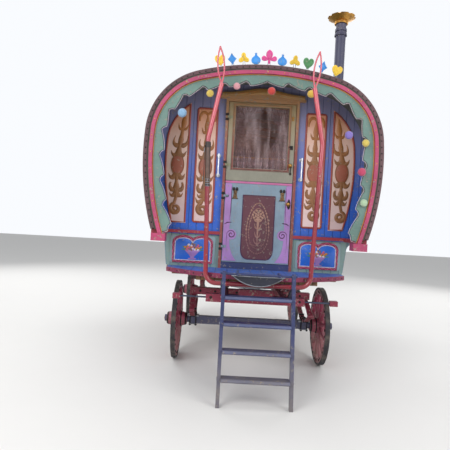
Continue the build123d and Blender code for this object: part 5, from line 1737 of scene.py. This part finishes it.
def buckle(shape, place, wide, half, reach, proud):
    """A frame of wire with a pin across its middle."""
    frame_line = [place(a, b, 0.0) for a, b in box_outline(-wide, wide, -half, half)]
    shape.tube(frame_line, 0.0024, closed=True)
    shape.tube([place(0.0, b, proud) for b in (-reach, reach)], 0.0018)


buckles = Shape()
strap_x = STRAP_LOW.x - 0.003
for z, half in ((2.335, 0.017), (2.06, 0.013)):
    buckle(buckles, lambda a, b, out: (strap_x - out, STRAP_MIDDLE + a, z + b), 0.017, half, half, 0.002)
buckles.finish("strap_buckles", "shafts", "steel", None, 60.0)

APRON_LOW, APRON_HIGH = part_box("porch_apron")
UPPER_STEPS, LOWER_STEPS = 24, 32
NAILS = 21
NAILED_SHARE = 0.96
apron_radius = KINGPIN_Y - APRON_LOW.y + 0.0015
apron_drop = APRON_HIGH.z - APRON_LOW.z
sweep = (APRON_HIGH.x**2 + apron_drop**2) / (2 * apron_drop)
rim, upper, lower = Shape(), [], []
for x in spaced(APRON_LOW.x + 0.004, APRON_HIGH.x - 0.004, UPPER_STEPS):
    upper.append((x, KINGPIN_Y - (apron_radius**2 - x**2) ** 0.5, APRON_HIGH.z - 0.008))
for x in spaced(0.012 - APRON_HIGH.x, APRON_HIGH.x - 0.012, LOWER_STEPS):
    z = APRON_LOW.z + sweep - ((sweep - 0.006) ** 2 - x**2) ** 0.5
    lower.append((x, KINGPIN_Y - (apron_radius**2 - x**2) ** 0.5, z))
rim.tube(upper, 0.006)
rim.tube(lower, 0.0045)
rim.finish("apron_rim", "wagon", "steel", None, 60.0)

EDGE_LOW, EDGE_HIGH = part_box("porch_edge")
edge_radius = KINGPIN_Y - EDGE_LOW.y
nails = []
for x in spaced(NAILED_SHARE * EDGE_LOW.x, NAILED_SHARE * EDGE_HIGH.x, NAILS - 1):
    if not APRON_LOW.x - 0.02 < x < APRON_HIGH.x + 0.02:
        depth = (edge_radius**2 - x**2) ** 0.5
        spot = (x, KINGPIN_Y - depth, (EDGE_LOW.z + EDGE_HIGH.z) / 2)
        nails.append((spot, (x / edge_radius, -depth / edge_radius, 0)))
fixings("porch_edge_nails", "wagon", "dark_iron", TACK, nails)

HANDLE_LOW, HANDLE_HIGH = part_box("grab_handles")
roses = Shape()
for side in (-1, 1):
    x = side * (HANDLE_HIGH.x - 0.018)
    for z in (HANDLE_LOW.z + 0.018, HANDLE_HIGH.z - 0.018):
        levels = ((0.0, 0.024), (0.003, 0.024), (0.006, 0.019), (0.0075, 0.011))
        roses.rings([[(a, WALL_Y - out, b) for a, b in oval(x, z, r, r, 24)] for out, r in levels])
roses.finish("handle_roses", "wagon", "steel", None, 40.0)

# %% [markdown]
# ## The chimney
# The flue is rolled sheet, lapped down its back and joined in three lengths by raised seams with a
# ring of rivets. The brass crown has a moulded neck at the foot of its petals.

# %% Chimney trim
PIPE_LOW, PIPE_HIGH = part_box("chimney_pipe")
PIPE_X, PIPE_Y, _ = middle_of(PIPE_LOW, PIPE_HIGH)
PIPE_RADIUS = (PIPE_HIGH.x - PIPE_LOW.x) / 2
CROWN_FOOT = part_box("chimney_crown")[0].z
PIPE_SIDES = 40
RIVETS = 14
LAP_HEIGHTS = (3.13, 4.0)
SEAM_HEIGHTS = (3.30, 3.86)
SEAM_PROFILE = (
    (-0.001, -0.016), (0.0014, -0.015), (0.0014, -0.003), (0.0030, 0.0), (0.0014, 0.003),
    (0.0014, 0.015), (-0.001, 0.016),
)
NECK_PROFILE = (
    (-0.001, -0.030), (0.008, -0.028), (0.011, -0.020), (0.006, -0.012), (0.010, -0.004),
    (-0.001, -0.002),
)


def round_pipe(turn, proud, height):
    """Turning about the flue's own axis, at a distance proud of its surface."""
    reach = PIPE_RADIUS + proud
    return PIPE_X + reach * cos(turn), PIPE_Y + reach * sin(turn), height


seams, neck, rivets = Shape(), Shape(), []
for z in SEAM_HEIGHTS:
    seams.turned(round_pipe, [(proud, z + h) for proud, h in SEAM_PROFILE], PIPE_SIDES)
    for turn in turns(RIVETS):
        rivets.append((round_pipe(turn, 0.002, z - 0.010), (cos(turn), sin(turn), 0)))
lap_y = PIPE_Y + PIPE_RADIUS
lap_low = (PIPE_X - 0.008, lap_y - 0.004, LAP_HEIGHTS[0])
seams.block(lap_low, (PIPE_X + 0.008, lap_y + 0.003, LAP_HEIGHTS[1]), 0.001)
seams.finish("flue_seams", "wagon", "flue_slate", None, 35.0)
fixings("flue_rivets", "wagon", "flue_slate", DOME_HEAD, rivets)
neck.turned(round_pipe, [(proud, CROWN_FOOT + h) for proud, h in NECK_PROFILE], PIPE_SIDES)
neck.finish("crown_neck", "wagon", "brass", None, 50.0)

# %% [markdown]
# ## The flared sides
# Between the ribs of each side is a moulded panel: a thin bead round a painted field, with a lozenge
# and four leaves in its middle and a curl towards each corner. The side leans outwards, so the drawing
# plane leans with it.

# %% Side panels
SIDES_LOW, SIDES_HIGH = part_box("lower_sides")
FLOOR_HALF = 0.960
LEDGE_HALF = 0.998
SIDE_FOOT = SIDES_LOW.z
SIDE_SLOPE = (LEDGE_HALF - FLOOR_HALF) / (SIDES_HIGH.z - SIDES_LOW.z)
RIB_COUNT = 9
RIB_WIDTH = 0.036
FIELD_MARGIN = 0.040


def flared(side):
    """Drawing on a leaning side: along Y, up, and out of it."""
    return lambda along, up, out: (
        side * (FLOOR_HALF + (up - SIDE_FOOT) * SIDE_SLOPE + out), along, up - out * SIDE_SLOPE,
    )


beads, fields, leaves = Shape(), Shape(), Shape()
pitch = (SIDES_HIGH.y - SIDES_LOW.y - RIB_WIDTH) / (RIB_COUNT - 1)
low, high = SIDE_FOOT + 0.045, SIDES_HIGH.z - 0.05
height = (low + high) / 2
for side in (-1, 1):
    place = flared(side)
    for number in range(RIB_COUNT - 1):
        start = SIDES_LOW.y + RIB_WIDTH + number * pitch + FIELD_MARGIN
        end = SIDES_LOW.y + (number + 1) * pitch - FIELD_MARGIN
        middle = (start + end) / 2
        outline = box_outline(start, end, low, high)
        fields.plate(place, outline, 0.003, 0.001)
        beads.bead(place, outline, 0.008, 0.009)
        leaves.bead(place, oval(middle, height, -0.085, -0.055, 4), 0.004, 0.0065)
        for lean in (-1, 1):
            for rise in (-1, 1):
                drawn = ((0.0, 0.0), (0.02, 0.02), (0.045, 0.004), (0.06, 0.0))
                leaf = curve(*[(middle + lean * w, height + rise * h) for w, h in drawn], 8)
                leaves.stroke(place, leaf, [0.002, 0.006, 0.001], 0.007)
                corner = (middle + lean * (end - start) * 0.36, height + rise * 0.075)
                curl = spiral(corner, 0.018, pi * (0.5 - 0.5 * lean), lean * rise * 1.2, 20, 0.2)
                leaves.stroke(place, curl, [0.0045, 0.004, 0.002], 0.006)
fields.finish("side_fields", "wagon", "side_paint", "inset_blue")
beads.finish("side_beads", "wagon", "side_paint", "border_red")
leaves.finish("side_leaves", "wagon", "side_paint", "old_gold")

# %% [markdown]
# ## The back
# The rear wall has the same panels as the front, in flat paint inside a red bead, and two more under
# its window. They are thin boards laid on the wall, with the outlines of the front carried onto the
# rear face. A rail runs across under them, and the window has curtains of its own.

# %% Rear wall
REAR_INSIDE, REAR_FACE = (corner.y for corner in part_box("rear_wall"))
REAR_ROD_HALF = 0.31
REAR_ROD_OFF = 0.022
boards, rear_beads = Shape(), Shape()
under_window = [box_outline(-0.33, 0.33, 1.62, 1.93), box_outline(-0.40, 0.40, 1.182, 1.488)]
for loop in TALL_LOOPS + LOW_LOOPS + under_window:
    edge = loop if loop in under_window else inset(loop, 0.002)
    boards.plate(back(REAR_FACE), edge, 0.007, 0.0015)
    rear_beads.bead(back(REAR_FACE + 0.006), inset(loop, BORDER_HALF), BORDER_HALF, 0.0065)
boards.finish("rear_boards", "wagon", "panel_cream")
rear_beads.finish("rear_beads", "wagon", "frame_brown", "border_red")
rear_bar = Shape()
rear_bar.block((-0.97, REAR_FACE, 1.505), (0.97, REAR_FACE + 0.022, 1.545), 0.004)
rear_bar.finish("rear_rail", "wagon", "ledge_red")
rear_edging = Shape()
fascia_back = back(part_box("fascia_boards")[1].y)
rear_edging.stroke(fascia_back, edge_line, [0.0028] * 2, EDGE_LINE_HIGH)
rear_edging.finish("rear_edge_line", "wagon", "fascia_sage", "shell_white")

PANE_LOW, PANE_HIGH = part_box("rear_window_glass")
rear_top, rear_y = PANE_HIGH.z + 0.02, REAR_INSIDE - REAR_ROD_OFF
pair_of_curtains("rear_curtain_", "wagon", rear_y, rear_top, PANE_LOW.z - 0.03, 0.60, PANE_HIGH.x + 0.02,
                 lambda share: 0.02 + 0.05 * share + 0.07 * sin(pi * share))
rear_rod = Shape()
rear_rod.tube([(side * REAR_ROD_HALF, rear_y, rear_top) for side in (-1, 1)], 0.005, 10)
for x in (0.005 - REAR_ROD_HALF, REAR_ROD_HALF - 0.005):
    end_low = (x - 0.006, rear_y - 0.006, rear_top - 0.012)
    rear_rod.block(end_low, (x + 0.006, rear_y + 0.0225, rear_top + 0.012), 0.002)
rear_rod.finish("rear_curtain_rod", "wagon", "brass", None, 50.0)

# %% [markdown]
# ## Ledges
# A strip of webbing covers the lower edge of the canvas on each side, with a row of brass tacks in it.

# %% Ledge strips
WEBBING_HALF = 0.013
WEBBING_PROUD = 0.0105
webbing = Shape()
ledge_x, strip_z = abs(ARCH[0][0]), ARCH[0][1] + 0.018
webbing_x = ledge_x + WEBBING_PROUD
for _, side in SIDES:
    x, face, y0, y1 = side * ledge_x, side * webbing_x, ROOF_LOW.y + 0.01, ROOF_HIGH.y - 0.01
    strip = [(x, y0), (x, y1), (face, y1), (face, y0)]
    webbing.rings([[(a, b, strip_z + h) for a, b in strip] for h in (-WEBBING_HALF, WEBBING_HALF)])
webbing.finish("canvas_webbing", "wagon", "canvas")
for side_name, side in SIDES:
    row = [(side * webbing_x, y, strip_z) for y in (ROOF_LOW.y + 0.04, ROOF_HIGH.y - 0.04)]
    fixings("ledge_tacks_" + side_name, "wagon", "brass", TACK, row, (side, 0, 0), spacing=0.055)

# %% [markdown]
# ## The sleeve on the left shaft
# Where the harness would rub, the left shaft wears a sleeve of brown hide, with two dark welts down its
# front, a band at each end and two buckles at its foot. The shaft leans outwards there, so the sleeve
# is a tube along its own line, a little fuller in the middle.

# %% Shaft sleeve
SLEEVE_LOW, SLEEVE_HIGH = 1.985, 2.415
SLEEVE_RADIUS = 0.0245
SLEEVE_STEPS = 24
WELT_LEAN = 0.62
SHAFT_LEAN = -0.0337
SHAFT_X = -0.5379
SHAFT_X_HEIGHT = 2.0315


def shaft_line(z):
    return SHAFT_X + (z - SHAFT_X_HEIGHT) * SHAFT_LEAN


def sleeve_ring(z, reach):
    return [(x, y, z) for x, y in oval(shaft_line(z), STRAP_MIDDLE, reach, reach, 28)]


sleeve, welts, bands = Shape(), Shape(), Shape()
rings = []
for share in spaced(0.0, 1.0, SLEEVE_STEPS):
    swell = 0.0012 * sin(pi * share) + 0.0006 * sin(share * 41.0)
    ease = -0.002 if share in (0.0, 1.0) else 0.0
    z = SLEEVE_LOW + (SLEEVE_HIGH - SLEEVE_LOW) * share
    rings.append(sleeve_ring(z, SLEEVE_RADIUS + swell + ease))
sleeve.rings(rings)
for lean in (-WELT_LEAN, WELT_LEAN):
    line, reach = [], SLEEVE_RADIUS + 0.001
    for z in spaced(SLEEVE_LOW + 0.004, SLEEVE_HIGH - 0.004, SLEEVE_STEPS):
        line.append((shaft_line(z) + reach * sin(lean), STRAP_MIDDLE - reach * cos(lean), z))
    welts.tube(line, 0.0022)
for z in (SLEEVE_LOW + 0.012, SLEEVE_HIGH - 0.012):
    levels = ((-0.010, -0.001), (-0.009, 0.0022), (0.009, 0.0022), (0.010, -0.001))
    welts.rings([sleeve_ring(z + d, SLEEVE_RADIUS + r) for d, r in levels])
for z in (SLEEVE_LOW + 0.012, SLEEVE_LOW + 0.055):
    x, y = shaft_line(z), STRAP_MIDDLE - SLEEVE_RADIUS - 0.0022
    buckle(bands, lambda a, b, out: (x + a, y - out, z + b), 0.020, 0.012, 0.014, 0.001)
sleeve.finish("shaft_sleeve", "shafts", "strap_leather", "sleeve_hide", 70.0)
welts.finish("shaft_sleeve_welts", "shafts", "strap_leather", None, 70.0)
bands.finish("shaft_sleeve_buckles", "shafts", "steel", None, 60.0)

# %% [markdown]
# ## The inside of the lower leaf
# Opened, the lower leaf shows its back. A bead frames it, and it is braced as a boarded door is, by two
# ledges and a slanting board between them.

# %% Door back
LEAF_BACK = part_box("door_lower")[1].y
inside = back(LEAF_BACK)
brace = Shape()
brace.bead(inside, box_outline(-0.325, 0.325, 1.275, 2.055), 0.014, 0.008)
for z in (1.42, 1.90):
    brace.block((-0.30, LEAF_BACK, z - 0.05), (0.30, LEAF_BACK + 0.014, z + 0.05), 0.003)
brace.plate(inside, [(-0.29, 1.485), (-0.20, 1.475), (0.29, 1.835), (0.20, 1.845)], 0.014, 0.003)
brace.finish("door_lower_ledges", "door_lower", "door_grey_blue")

# %% [markdown]
# ## The floor and the light
# A plain pale floor and soft light show the paint as it is. Two wide lamps stand in front, one to
# each side, one hangs over the roof, and a weaker pair lights the back. The background is at full
# strength only for rays that come from the eye, glass or metal, and at half strength for all others.

# %% Stage
FLOOR_HALF_SIZE = 30.0
FLOOR_COLOUR = (0.78, 0.77, 0.75)
AIM = Vector((0.0, 0.0, 1.7))
pale = Finish("floor")
pale.set("Base Color", pale.mix(pale.noise(3.0, 4.0) * 0.3, FLOOR_COLOUR, tint(FLOOR_COLOUR, 0.93)))
pale.set("Roughness", 0.8)
floor_mesh = bpy.data.meshes.new("floor")
edge = box_outline(-FLOOR_HALF_SIZE, FLOOR_HALF_SIZE, -FLOOR_HALF_SIZE, FLOOR_HALF_SIZE)
floor_mesh.from_pydata([(x, y, 0.0) for x, y in edge], [], [(0, 1, 2, 3)])
floor_mesh.materials.append(pale.material)
floor = bpy.data.objects.new("floor", floor_mesh)
bpy.context.scene.collection.objects.link(floor)

LAMPS = (
    # place, size, watts
    ((-5.0, -8.0, 6.0), 5.0, 430.0),
    ((6.0, -7.5, 5.0), 5.0, 300.0),
    ((0.0, 0.5, 8.5), 6.0, 260.0),
    ((-6.5, 6.5, 5.5), 5.0, 270.0),
    ((6.5, 6.5, 5.0), 5.0, 220.0),
)
for number, (spot, size, watts) in enumerate(LAMPS):
    lamp = bpy.data.objects.new("lamp_%d" % number, bpy.data.lights.new("lamp_%d" % number, "AREA"))
    lamp.data.size = size
    lamp.data.energy = watts
    lamp.location = spot
    lamp.rotation_euler = (AIM - Vector(spot)).to_track_quat("-Z", "Y").to_euler()
    bpy.context.scene.collection.objects.link(lamp)

world = bpy.data.worlds.new("studio")
bpy.context.scene.world = world
world.use_nodes = True
sky = world.node_tree


def larger(first, second):
    """A Math node that passes on the larger of two outputs."""
    made = sky.nodes.new("ShaderNodeMath")
    made.operation = "MAXIMUM"
    sky.links.new(first, made.inputs[0])
    sky.links.new(second, made.inputs[1])
    return made.outputs[0]


seen = sky.nodes.new("ShaderNodeLightPath").outputs
by_lens = larger(seen["Is Camera Ray"], larger(seen["Is Glossy Ray"], seen["Is Transmission Ray"]))
shade = sky.nodes.new("ShaderNodeMapRange")
shade.inputs["To Min"].default_value = 0.5
shade.inputs["To Max"].default_value = 1.0
sky.links.new(by_lens, shade.inputs["Value"])
sky.nodes["Background"].inputs["Color"].default_value = (0.95, 0.97, 1.0, 1.0)
sky.links.new(shade.outputs["Result"], sky.nodes["Background"].inputs["Strength"])
bpy.context.scene.view_settings.view_transform = "Standard"
print("stage ready")
